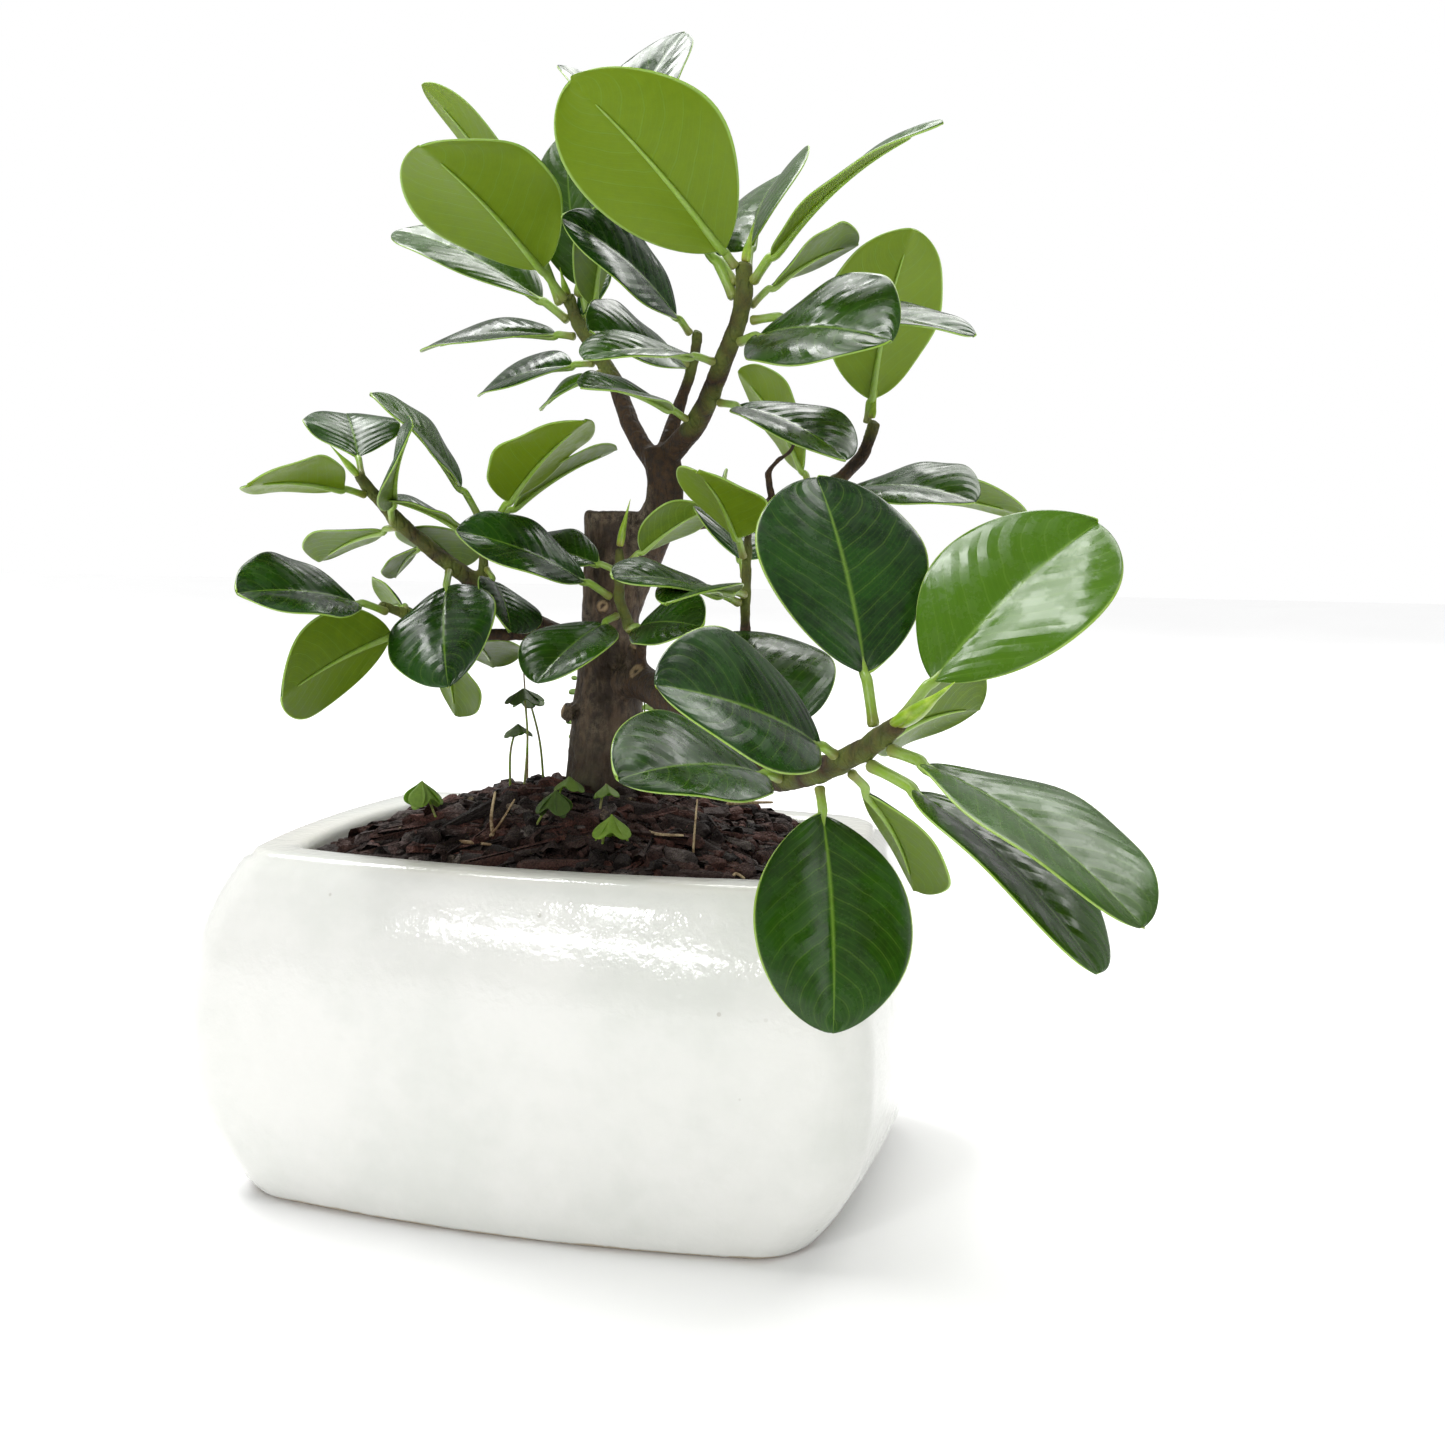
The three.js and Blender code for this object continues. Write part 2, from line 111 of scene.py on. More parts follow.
def sweepTube(bm, path, radii, sides=8, flatten=1.0, slotIndex=0):
    # A closed tube along a path: one capped circle, extruded from station to station.
    last = len(path) - 1
    heading = (path[1] - path[0]).normalized()
    turn = heading.to_track_quat("Z", "Y")
    ring = bmesh.ops.create_circle(bm, cap_ends=True, segments=sides, radius=1)["verts"]
    faces = list(ring[0].link_faces)
    edges = list(faces[0].edges)
    placed = Matrix.Identity(4)
    for i, point in enumerate(path):
        if i:
            ring, edges, walls = extrudeRing(bm, edges)
            faces += walls
        onward = (path[min(i + 1, last)] - path[max(i - 1, 0)]).normalized()
        turn = heading.rotation_difference(onward) @ turn
        heading = onward
        target = Matrix.LocRotScale(point, turn, Vector((radii[i], radii[i] * flatten, radii[i])))
        bmesh.ops.transform(bm, matrix=target @ placed.inverted(), verts=ring)
        placed = target
    faces += bmesh.ops.edgeloop_fill(bm, edges=edges)["faces"]
    bmesh.ops.recalc_face_normals(bm, faces=faces)
    for face in faces:
        face.material_index = slotIndex


def taper(start, end, count):
    return [start + (end - start) * i / (count - 1) for i in range(count)]


def setSocket(socket, value):
    if isinstance(value, bpy.types.NodeSocket):
        socket.id_data.links.new(value, socket)
    else:
        socket.default_value = value


# The owner is a node tree, or any node or socket in it.
def addNode(owner, kind, inputs=None, **settings):
    node = owner.id_data.nodes.new(kind)
    for key, value in settings.items():
        setattr(node, key, value)
    for key, value in (inputs or {}).items():
        setSocket(node.inputs[key], value)
    return node


def firstSocket(*values):
    return next(value for value in values if isinstance(value, bpy.types.NodeSocket))


def calc(operation, *values):
    owner = firstSocket(*values)
    return addNode(owner, "ShaderNodeMath", dict(enumerate(values)), operation=operation).outputs[0]


def plus(*values):
    return calc("ADD", *values)


def minus(*values):
    return calc("SUBTRACT", *values)


def times(*values):
    return calc("MULTIPLY", *values)


def rangeOf(value, low, high, toLow=0.0, toHigh=1.0, smooth=True):
    kind = "SMOOTHSTEP" if smooth else "LINEAR"
    inputs = dict(enumerate((value, low, high, toLow, toHigh)))
    return addNode(value, "ShaderNodeMapRange", inputs, interpolation_type=kind).outputs[0]


def blendColours(share, first, second):
    owner = firstSocket(share, first, second)
    return addNode(owner, "ShaderNodeMix", {0: share, 6: first, 7: second}, data_type="RGBA").outputs[2]


def noiseAt(place, scale, detail=2.0):
    inputs = {"Vector": place, "Scale": scale, "Detail": detail}
    return addNode(place, "ShaderNodeTexNoise", inputs).outputs[0]


def ramp(value, stops):
    node = addNode(value, "ShaderNodeValToRGB", {"Fac": value})
    elements = node.color_ramp.elements
    while len(elements) < len(stops):
        elements.new(0.5)
    for element, (position, colour) in zip(elements, stops):
        element.position = position
        element.color = colour
    return node.outputs["Color"]


def colour(red, green, blue):
    return (red, green, blue, 1.0)


# Inputs come with a number's default, or None for a vector; every output is a number.
def newGroup(name, inputs, outputs):
    group = bpy.data.node_groups.new(name, "ShaderNodeTree")
    for label, value in inputs.items():
        kind = "NodeSocketVector" if value is None else "NodeSocketFloat"
        socket = group.interface.new_socket(label, in_out="INPUT", socket_type=kind)
        if value is not None:
            socket.default_value = value
    for label in outputs:
        group.interface.new_socket(label, in_out="OUTPUT", socket_type="NodeSocketFloat")
    return group, group.nodes.new("NodeGroupInput").outputs, group.nodes.new("NodeGroupOutput").inputs


def useGroup(group, **inputs):
    return addNode(inputs["Place"], "ShaderNodeGroup", inputs, node_tree=group).outputs


def mottled(place, scale, fine=0.4):
    return useGroup(mottle, Place=place, Scale=scale, Fine=fine)["Value"]


def gritty(place, scale, pits=0.5):
    return useGroup(grit, Place=place, Scale=scale, Pits=pits)["Height"]


def newMaterial(name, **constants):
    material = bpy.data.materials.new(name)
    material.use_nodes = True
    tree = material.node_tree
    shader = tree.nodes["Principled BSDF"]
    connect(shader, **constants)
    return material, shader, addNode(tree, "ShaderNodeTexCoord").outputs["Object"]


# How light spreads inside: its share, its depth in mm, and how far each colour goes.
def softness(share, depth, spread):
    return {"Subsurface_Weight": share, "Subsurface_Scale": depth * mm, "Subsurface_Radius": spread}


def attribute(shader, name):
    settings = dict(attribute_name=name, attribute_type="GEOMETRY")
    return addNode(shader, "ShaderNodeAttribute", **settings).outputs["Fac"]


# Sets or links the shader's own sockets, each given by its name with _ for a space.
def connect(shader, **values):
    for key, value in values.items():
        setSocket(shader.inputs[key.replace("_", " ")], value)


def addBump(shader, height, strength, distance):
    inputs = {"Strength": strength, "Distance": distance, "Height": height}
    connect(shader, Normal=addNode(shader, "ShaderNodeBump", inputs).outputs["Normal"])


# Soft patches of lighter and darker, with a finer one laid over them.
def makeMottleGroup():
    group, given, result = newGroup("mottle", {"Place": None, "Scale": 100.0, "Fine": 0.4}, ["Value"])
    broad = noiseAt(given["Place"], given["Scale"], 4.0)
    fine = noiseAt(given["Place"], times(given["Scale"], 6.0), 3.0)
    swing = times(minus(fine, 0.5), given["Fine"])
    setSocket(result["Value"], rangeOf(plus(broad, swing), 0.32, 0.68))
    return group


# Pits and grit for a rough surface's bump.
def makeGritGroup():
    group, given, result = newGroup("grit", {"Place": None, "Scale": 900.0, "Pits": 0.5}, ["Height"])
    cells = addNode(group, "ShaderNodeTexVoronoi", {"Vector": given["Place"], "Scale": given["Scale"]})
    grain = noiseAt(given["Place"], given["Scale"], 6.0)
    setSocket(result["Height"], plus(grain, times(cells.outputs["Distance"], given["Pits"])))
    return group


# A leaf's rib, side veins and margin, from its own map: across in U, along in V.
def makeVeinGroup():
    inputs = {"Map": None, "Place": None, "Veins": 9.0}
    group, given, result = newGroup("leaf veins", inputs, ["Rib", "Side Veins", "Margin", "Quilt"])
    parts = addNode(group, "ShaderNodeSeparateXYZ", {0: given["Map"]}).outputs
    across = times(minus(parts["X"], 0.5), 2.0)
    away = calc("ABSOLUTE", across)
    ribWidth = rangeOf(parts["Y"], 0.0, 1.0, 0.055, 0.018, smooth=False)
    rib = minus(1.0, calc("SMOOTH_MIN", calc("DIVIDE", away, ribWidth), 1.0, 0.3))
    setSocket(result["Rib"], calc("MAXIMUM", rib, 0.0))
    forward = plus(times(away, 0.2), times(calc("POWER", away, 2.0), 0.13))
    wandered = plus(minus(parts["Y"], forward), times(noiseAt(given["Place"], 140.0), 0.05))
    staggered = plus(times(wandered, given["Veins"]), times(calc("SIGN", across), 0.22))
    wave = times(calc("ABSOLUTE", minus(calc("FRACT", staggered), 0.5)), 2.0)
    main = rangeOf(wave, 0.0, 0.14, 1.0, 0.0)
    fineSteps = calc("FRACT", times(staggered, 4.0))
    fine = rangeOf(calc("ABSOLUTE", minus(fineSteps, 0.5)), 0.0, 0.2, 0.3, 0.0)
    fade = rangeOf(away, 0.7, 0.97, 1.0, 0.15)
    setSocket(result["Side Veins"], times(calc("MAXIMUM", main, fine), fade))
    setSocket(result["Margin"], rangeOf(away, 0.955, 0.99))
    setSocket(result["Quilt"], times(wave, fade))
    return group


mottle = makeMottleGroup()
grit = makeGritGroup()
veins = makeVeinGroup()


leafFinish = {
    "deepGreen": colour(0.004, 0.020, 0.003),
    "fullGreen": colour(0.011, 0.052, 0.004),
    # This yellow-green and the pale under colour below are partly young-leaf colour and partly painted glow
    # of light shining through the leaf.
    "youngAndLitGreen": colour(0.070, 0.170, 0.002),
    "ribGreen": colour(0.15, 0.27, 0.035),
    "underGreen": colour(0.065, 0.120, 0.006),
    "underYoungAndLit": colour(0.18, 0.27, 0.006),
    "stalkGreen": colour(0.22, 0.36, 0.035),
    "marginGreen": colour(0.26, 0.38, 0.09),
    "stalkBrown": colour(0.16, 0.09, 0.03),
    "shineRoughness": (0.15, 0.34),
}


def leafTopMaterial():
    material, shader, place = newMaterial(
        "leaf_upper_face", Specular_IOR_Level=0.28, Coat_Weight=0.06, Coat_Roughness=0.12,
        **softness(0.08, 0.8, (0.5, 1.0, 0.2)))
    leafMap = addNode(shader, "ShaderNodeUVMap", uv_map="leafMap").outputs["UV"]
    lines = useGroup(veins, Map=leafMap, Place=place)
    patches = mottled(place, 90.0, 0.5)
    tone = attribute(shader, "leafTone")
    base = blendColours(patches, leafFinish["deepGreen"], leafFinish["fullGreen"])
    # Painted light in part: listed leaves are brightened towards yellow-green, partly young-leaf colour and
    # partly painted glow of light shining through them.
    base = blendColours(tone, base, leafFinish["youngAndLitGreen"])
    base = blendColours(times(lines["Side Veins"], 0.22), base, leafFinish["ribGreen"])
    base = blendColours(times(lines["Rib"], 0.8), base, leafFinish["ribGreen"])
    base = blendColours(times(lines["Margin"], 0.6), base, leafFinish["marginGreen"])
    low, high = leafFinish["shineRoughness"]
    roughness = rangeOf(mottled(place, 240.0), 0.0, 1.0, low, high)
    connect(shader, Base_Color=base, Roughness=roughness)
    peel = noiseAt(place, 1500.0)
    broad = noiseAt(place, 160.0)
    height = plus(times(lines["Quilt"], 0.5), times(peel, 0.05))
    height = plus(height, times(broad, 0.9))
    addBump(shader, height, 0.6, 0.22 * mm)
    return material


def leafUnderMaterial():
    material, shader, place = newMaterial(
        "leaf_under_face", Specular_IOR_Level=0.2, **softness(0.3, 1.0, (0.7, 1.0, 0.15)))
    leafMap = addNode(shader, "ShaderNodeUVMap", uv_map="leafMap").outputs["UV"]
    lines = useGroup(veins, Map=leafMap, Place=place)
    tone = attribute(shader, "leafTone")
    # Painted light in part: listed leaves' undersides are brightened, partly young-leaf colour and partly
    # painted glow of light shining through them.
    base = blendColours(tone, leafFinish["underGreen"], leafFinish["underYoungAndLit"])
    speckle = mottled(place, 500.0, 0.8)
    base = blendColours(times(speckle, 0.25), base, leafFinish["underYoungAndLit"])
    base = blendColours(times(lines["Side Veins"], 0.4), base, leafFinish["ribGreen"])
    base = blendColours(lines["Margin"], base, leafFinish["marginGreen"])
    roughness = rangeOf(speckle, 0.0, 1.0, 0.38, 0.52)
    connect(shader, Base_Color=base, Roughness=roughness)
    height = plus(times(lines["Side Veins"], 0.8), times(speckle, 0.05))
    addBump(shader, height, 0.25, 0.12 * mm)
    return material


def leafStalkMaterial():
    material, shader, place = newMaterial(
        "leaf_stalk", Specular_IOR_Level=0.45, **softness(0.3, 1.2, (0.8, 1.0, 0.2)))
    patches = mottled(place, 260.0, 0.6)
    base = blendColours(patches, leafFinish["stalkGreen"], leafFinish["marginGreen"])
    brown = times(attribute(shader, "stalkFoot"), 0.75)
    base = blendColours(brown, base, leafFinish["stalkBrown"])
    connect(shader, Base_Color=base, Roughness=rangeOf(patches, 0.0, 1.0, 0.3, 0.45))
    addBump(shader, gritty(place, 1400.0), 0.3, 0.1 * mm)
    return material


leafMaterials = [leafTopMaterial(), leafUnderMaterial(), leafStalkMaterial()]


leafShape = {
    "acrossSegments": 14,
    "alongSegments": 22,
    "thickness": 0.5 * mm,
    "arch": 0.06,  # of the reach, as on the leaf that it stands for
    "fold": 0.14,  # rise of the margin over the rib, as a share of the half width
    "dome": 0.045,  # how far each half bulges up between rib and margin
    "groove": 0.35 * mm,  # depth of the channel over the rib
    "grooveWidth": 0.9 * mm,
    "waviness": 0.035,  # of the half width
    "twist": 7.0,  # degrees from stalk to tip, either way
    "stalkRadius": 0.5 * mm,
    "stalkRadiusPerReach": 0.0105,
    "stalkSegments": 9,
    "ribSegments": 9,
    "ribEnd": 0.86,
}

# How bright a leaf is made, from a dark old one at 0 to a bright young one at 1, by twig and number. The
# brightness is partly young-leaf colour and partly painted glow of light shining through the leaf.
youngAndLitLeaves = {
    "front": {2: 0.75, 9: 0.3, 10: 0.3},
    "left": {1: 0.55, 2: 0.7, 3: 0.3, 5: 0.4},
    "crown": {1: 0.6, 2: 0.4, 3: 0.35},
    "back": {1: 0.6},
    "sideShoot": {1: 0.5},
    "low": {1: 0.6},
    "lowShoot": {1: 0.35, 2: 0.6},
    "lowFork": {2: 0.3},
    "extra": {1: 0.6, 3: 0.7, 4: 0.6},
}

# Small leaves that have no part of their own: a point beside the twig in mm, then heading, rise
# and roll in degrees, and reach, stalk and width in mm.
extraLeaves = [
    [(1, 16, 185), 155, -20, 40, 22, 5, 10],
    [(-7, 18, 196), 30, 60, -40, 16, 3, 8],
    [(49, 23, 158), 140, 45, -70, 40, 4, 20],
    [(30, 20, 152), -80, 15, -70, 22, 4, 10],
    [(48, -38, 135), -105, 0, 0, 30, 5, 15],
    [(49, -42, 121), -110, 15, 35, 20, 4, 10],
    [(13, -11, 138), 172, 12, 25, 28, 6, 18],
    [(14, -8, 126), -40, 5, -40, 28, 5, 18],
    [(-36, -21, 149), -55, 35, -70, 34, 6, 18],
    [(-35, -20, 148), 155, -15, 0, 30, 5, 20],
    [(-31, -17, 144), 140, -25, 25, 20, 4, 12],
    [(-17, -13, 148), 45, 30, 20, 36, 6, 18],
    [(-22, -17, 124), 100, -15, -5, 32, 5, 20],
    [(-27, -23, 126), 100, -45, -40, 30, 5, 18],
    [(-31, -28, 129), 125, 0, -40, 24, 6, 16],
]

leafStarts = []


def bladeOutline(along):
    return math.sin(math.pi * along**1.1) ** 0.56 if 0 < along < 1 else 0.0


def readLeaf(node):
    # The plain leaf is rings of four corners between two points, so its rings are found by walking
    # from one point to the other.
    bm = mergedCopy(node)
    ends = [v for v in bm.verts if len(v.link_edges) == 4]
    walks = []
    for end in ends:
        layers, seen = [[end]], {end}
        while layers[-1]:
            beyond = {e.other_vert(v) for v in layers[-1] for e in v.link_edges} - seen
            seen |= beyond
            layers.append(list(beyond))
        walks.append([[v.co.copy() for v in layer] for layer in layers[:-1]])
    bm.free()

    def span(ring):
        return max((a - b).length for a in ring for b in ring)

    rings = min(walks, key=lambda walk: span(walk[1]))
    start, tip = rings[0][0], rings[-1][0]
    along = tip - start
    stalkShare = (sum(rings[3], Vector()) / 4 - start).dot(along) / along.length_squared
    widest = rings[6]
    pairs = [(a, b) for a in widest for b in widest]
    edgeA, edgeB = max(pairs, key=lambda pair: (pair[0] - pair[1]).length)
    middle = sum((v for v in widest if v not in (edgeA, edgeB)), Vector()) / 2
    upward = (edgeA + edgeB) / 2 - middle
    share = (middle - start).dot(along) / along.length_squared
    blade = (share - stalkShare) / (1 - stalkShare)
    return {
        "start": start,
        "tip": tip,
        "up": upward,
        "stalkShare": stalkShare,
        "halfWidth": (edgeA - edgeB).length / 2 / bladeOutline(blade),
    }


def typedLeaf(row, woodTree):
    near, heading, rise, roll, reach, stalk, width = row
    touch, normal, _, _ = woodTree.find_nearest(Vector(near) * mm)
    line = direction(heading, rise)
    start = touch + (line - normal * line.dot(normal) * 0.5).normalized() * 0.6 * mm
    side = line.cross(upright).normalized()
    turned = Matrix.Rotation(math.radians(-roll), 3, line) @ side.cross(line)
    return {
        "start": start,
        "tip": start + line * reach * mm,
        "up": turned,
        "stalkShare": stalk / reach,
        "halfWidth": width / 2 * mm,
    }


# The leaf's middle line, and its blade's surface: across from -1 to 1, along from 0 to 1.
def leafForm(leaf, chance):
    shape = leafShape
    along = leaf["tip"] - leaf["start"]
    reach = along.length
    side = along.cross(leaf["up"]).normalized()
    upward = side.cross(along).normalized()
    stalkShare, halfWidth = leaf["stalkShare"], leaf["halfWidth"]
    twist = math.radians(chance.uniform(-shape["twist"], shape["twist"]))
    lean = chance.uniform(-0.05, 0.05)
    ripple = [(chance.uniform(1.2, 2.6), chance.uniform(0, math.tau)) for _ in range(2)]
    curl = chance.uniform(-0.01, 0.03)

    def spine(share):
        return leaf["start"] + along * share + upward * (shape["arch"] * reach * 4 * share * (1 - share))

    def bladePoint(across, length):
        share = stalkShare + (1 - stalkShare) * length
        half = halfWidth * bladeOutline(length) * (1 + lean * across)
        away = abs(across)
        rise = half * (shape["fold"] * away + shape["dome"] * math.sin(math.pi * away))
        rise -= shape["groove"] * math.exp(-((away * half / shape["grooveWidth"]) ** 2)) * (1 - length)
        turns, phase = ripple[across > 0]
        rise += halfWidth * shape["waviness"] * math.sin(turns * math.tau * length + phase) * away**2
        rise -= curl * reach * length**4
        turn = twist * (length - 0.4)
        across *= half
        offset = side * (across * math.cos(turn) - rise * math.sin(turn))
        return spine(share) + offset + upward * (across * math.sin(turn) + rise * math.cos(turn))

    return spine, bladePoint, upward


def addBlade(bm, bladePoint):
    shape = leafShape
    leafMap = bm.loops.layers.uv.new("leafMap")
    bmesh.ops.create_grid(
        bm, x_segments=shape["acrossSegments"], y_segments=shape["alongSegments"], size=1, calc_uvs=True)
    for vert in bm.verts:
        across = vert.co.x
        length = (1 - math.cos(math.pi * (vert.co.y + 1) / 2)) / 2
        for loop in vert.link_loops:
            loop[leafMap].uv = ((across + 1) / 2, length)
        vert.co = bladePoint(across, length)
    bmesh.ops.remove_doubles(bm, verts=bm.verts, dist=0.01 * mm)
    upper = set(bm.faces)
    bmesh.ops.solidify(bm, geom=bm.faces[:], thickness=shape["thickness"])
    upperVerts = {vert for face in upper for vert in face.verts}
    skin = kdtree.KDTree(len(upperVerts))
    for vert in upperVerts:
        skin.insert(vert.co, vert.index)
    skin.balance()
    for vert in bm.verts:
        # the shell can shoot out at a sharp tip, so such a corner goes back between its neighbours
        if vert not in upperVerts and skin.find(vert.co)[2] > 1.5 * shape["thickness"]:
            beside = [edge.other_vert(vert).co for edge in vert.link_edges]
            vert.co = sum(beside, Vector()) / len(beside)
    for face in bm.faces:
        shared = sum(vert in upperVerts for vert in face.verts)
        face.material_index = 0 if face in upper else (2 if shared else 1)
    bmesh.ops.recalc_face_normals(bm, faces=bm.faces)


# One tube: the stalk, then the rib that stands out under the blade.
def addStalk(bm, leaf, spine, bladePoint, upward):
    shape = leafShape
    along = leaf["tip"] - leaf["start"]
    radius = shape["stalkRadius"] + shape["stalkRadiusPerReach"] * along.length
    stalkSteps, ribSteps = shape["stalkSegments"], shape["ribSegments"]
    path = [spine(leaf["stalkShare"] * i / stalkSteps) for i in range(stalkSteps)]
    path[0] -= along.normalized() * 0.5 * mm
    flare = [0.35 * math.exp(-i * 1.2) + 0.1 * (i / stalkSteps) ** 3 for i in range(stalkSteps)]
    radii = [radius * (1 + extra) for extra in flare]
    for i in range(ribSteps + 1):
        thin = radius * (1 - 0.82 * (i / ribSteps) ** 0.7)
        under = upward * (shape["thickness"] + thin * 0.15)
        path.append(bladePoint(0, shape["ribEnd"] * i / ribSteps) - under)
        radii.append(thin)
    sweepTube(bm, path, radii, sides=8, slotIndex=2)


def growLeaf(name, leaf, tone, replaced=()):
    spine, bladePoint, upward = leafForm(leaf, random.Random(name))
    bm = bmesh.new()
    addBlade(bm, bladePoint)
    addStalk(bm, leaf, spine, bladePoint, upward)
    piece = addPiece(name, bm, leafMaterials, replaced)
    places = [vert.co for vert in piece.data.vertices]
    foot = [math.exp(-(((place - leaf["start"]).length / (2.2 * mm)) ** 2)) for place in places]
    for layerName, values in (("leafTone", [tone] * len(places)), ("stalkFoot", foot)):
        piece.data.attributes.new(layerName, "FLOAT", "POINT").data.foreach_set("value", values)
    smoothEdges(piece, 1)
    leafStarts.append(leaf["start"])


def woodBvh():
    bm = mergedCopy(nodes["wood"])
    tree = BVHTree.FromBMesh(bm)
    bm.free()
    return tree


woodTree = woodBvh()
# A leaf's share of the brighter colour, partly young-leaf colour and partly painted lit-through glow.
def youngAndLitShare(leafName, usual):
    _, twig, number = leafName.split("_")
    return youngAndLitLeaves.get(twig, {}).get(int(number), usual)


for leafName in sorted(name for name in nodes if name.startswith("leaf_")):
    usual = random.Random("tone " + leafName).uniform(0, 0.14)
    growLeaf("grown_" + leafName, readLeaf(nodes[leafName]), youngAndLitShare(leafName, usual), (leafName,))
for number, row in enumerate(extraLeaves, 1):
    extraName = "leaf_extra_%d" % number
    growLeaf("grown_" + extraName, typedLeaf(row, woodTree), youngAndLitShare(extraName, 0.1))
print("leaves: %d grown" % len(leafStarts))


woodShape = {
    "voxel": 0.55 * mm,
    "smoothing": 6,
    "trunkRoughness": 0.75 * mm,
    "twigRoughness": 0.14 * mm,
    "trunkReach": 13 * mm,  # how far from the trunk's line the coarse bark ends
    "nodeSwelling": 0.5 * mm,
    "nodeReach": 1.8 * mm,
    "youngReach": 5 * mm,
    "trunkFoot": Vector((3, 8, 72)),
    "trunkTop": Vector((5, 8, 152)),
    "rimDepth": 2.5 * mm,  # how far below its top the sawn trunk's face counts as cut
    # cut-off stubs: foot, heading, rise, length and radius, in mm and degrees
    "stubs": [
        [(15, 1, 114), -95, 20, 4.5, 2.6],
        [(12, 3, 116), -60, 65, 6, 2.2],
        [(6, -1, 130), -80, 10, 3, 1.8],
        [(-3, 2, 105), -150, 15, 2.2, 2.0],
        [(29, -20, 111), 80, 60, 3, 1.3],
        [(58, -58, 103), 60, 70, 2.5, 1.1],
    ],
}

woodFinish = {
    "darkBark": colour(0.022, 0.013, 0.008),
    "midBark": colour(0.085, 0.055, 0.034),
    "paleBark": colour(0.33, 0.27, 0.2),
    "moss": colour(0.045, 0.055, 0.018),
    "twigBrown": colour(0.065, 0.038, 0.020),
    "youngGreen": colour(0.17, 0.24, 0.03),
    "cutWood": colour(0.30, 0.21, 0.12),
    "cutRim": colour(0.05, 0.03, 0.018),
}


def barkMaterial():
    material, shader, place = newMaterial("bark_and_twig", Specular_IOR_Level=0.3)
    drawn = addNode(shader, "ShaderNodeMapping", {"Vector": place, "Scale": (1.0, 1.0, 0.28)}).outputs[0]
    streaks = mottled(drawn, 150.0, 0.9)
    patches = mottled(place, 55.0, 0.4)
    flecks = mottled(place, 700.0, 0.9)
    base = blendColours(streaks, woodFinish["darkBark"], woodFinish["midBark"])
    pale = times(patches, times(flecks, 0.45))
    base = blendColours(pale, base, woodFinish["paleBark"])
    twig = blendColours(flecks, woodFinish["darkBark"], woodFinish["twigBrown"])
    base = blendColours(attribute(shader, "trunkShare"), twig, base)
    height = addNode(shader, "ShaderNodeSeparateXYZ", {0: place}).outputs["Z"]
    # Painted shade: the bark is darkened towards the trunk's foot, below 112 mm up, and the same mask lays
    # real moss patches over it.
    footShadeAndMoss = rangeOf(height, 0.085, 0.112, 0.75, 0.0)
    base = blendColours(footShadeAndMoss, base, woodFinish["darkBark"])
    base = blendColours(times(footShadeAndMoss, times(patches, 0.5)), base, woodFinish["moss"])
    base = blendColours(attribute(shader, "young"), base, woodFinish["youngGreen"])
    base = blendColours(attribute(shader, "cutRim"), base, woodFinish["cutRim"])
    base = blendColours(attribute(shader, "cutFace"), base, woodFinish["cutWood"])
    connect(shader, Base_Color=base, Roughness=rangeOf(flecks, 0.0, 1.0, 0.6, 0.92))
    crackInputs = {"Vector": drawn, "Scale": 420.0}
    cracks = addNode(shader, "ShaderNodeTexVoronoi", crackInputs, feature="DISTANCE_TO_EDGE")
    relief = times(rangeOf(cracks.outputs["Distance"], 0.0, 0.12), 0.6)
    grains = gritty(place, 1300.0, 0.4)
    addBump(shader, plus(relief, grains), 0.8, 0.35 * mm)
    return material


# The plain wood with its cut-off stubs, joined into one even skin, and each stub's end.
def roughWood():
    bm = mergedCopy(nodes["wood"])
    stubEnds = []
    for foot, heading, rise, length, radius in woodShape["stubs"]:
        line = direction(heading, rise)
        path = [Vector(foot) * mm + line * length * mm * share for share in (0, 0.5, 0.85, 1)]
        sweepTube(bm, path, [radius * mm * k for k in (1.25, 1.0, 1.08, 1.0)], sides=12)
        stubEnds.append((path[-1], line, radius * mm))
    rough = bpy.data.meshes.new("roughWood")
    bm.to_mesh(rough)
    bm.free()
    carrier = addObject("roughWood", rough)
    remesh = carrier.modifiers.new("remesh", "REMESH")
    remesh.mode = "VOXEL"
    remesh.voxel_size = woodShape["voxel"]
    graph = bpy.context.evaluated_depsgraph_get()
    bm = bmesh.new()
    bm.from_mesh(carrier.evaluated_get(graph).to_mesh())
    bpy.data.objects.remove(carrier)
    for _ in range(woodShape["smoothing"]):
        bmesh.ops.smooth_vert(
            bm, verts=bm.verts, factor=0.5, use_axis_x=True, use_axis_y=True, use_axis_z=True)
    bm.normal_update()
    return bm, stubEnds


# How much a place is cut wood, and how much the dark rim or the pith of a cut.
def cutMarks(vert, trunk, stubEnds):
    sawnFrom = woodShape["trunkTop"].z * mm - woodShape["rimDepth"]
    sawn = trunk > 0.5 and vert.normal.z > 0.6 and vert.co.z > sawnFrom
    cut, rim = 0.0, 0.8 if sawn else 0.0
    for end, line, radius in stubEnds:
        away = (vert.co - end).length
        if vert.normal.dot(line) > 0.6 and away < radius * 1.2:
            if away < radius * 0.78:
                cut = max(cut, min(1.0, (radius * 0.78 - away) / (0.15 * radius)))
            if away < radius * 0.28:
                cut, rim = 0.0, 1.0
    return cut, rim


def barkDepth(place, trunk, nearLeaf):
    shape = woodShape
    lumps = noise.fractal(place * 90 + Vector((7, 3, 0)), 0.9, 2.2, 3)
    ridges = noise.fractal(Vector((place.x * 260, place.y * 260, place.z * 55)), 0.9, 2.1, 4)
    fine = noise.noise(place * 900)
    amount = shape["trunkRoughness"] * trunk * (0.55 * lumps + 0.45 * ridges)
    amount += shape["twigRoughness"] * (1 - trunk) * (lumps + ridges) + 0.06 * mm * fine
    return amount + shape["nodeSwelling"] * math.exp(-((nearLeaf / shape["nodeReach"]) ** 2))


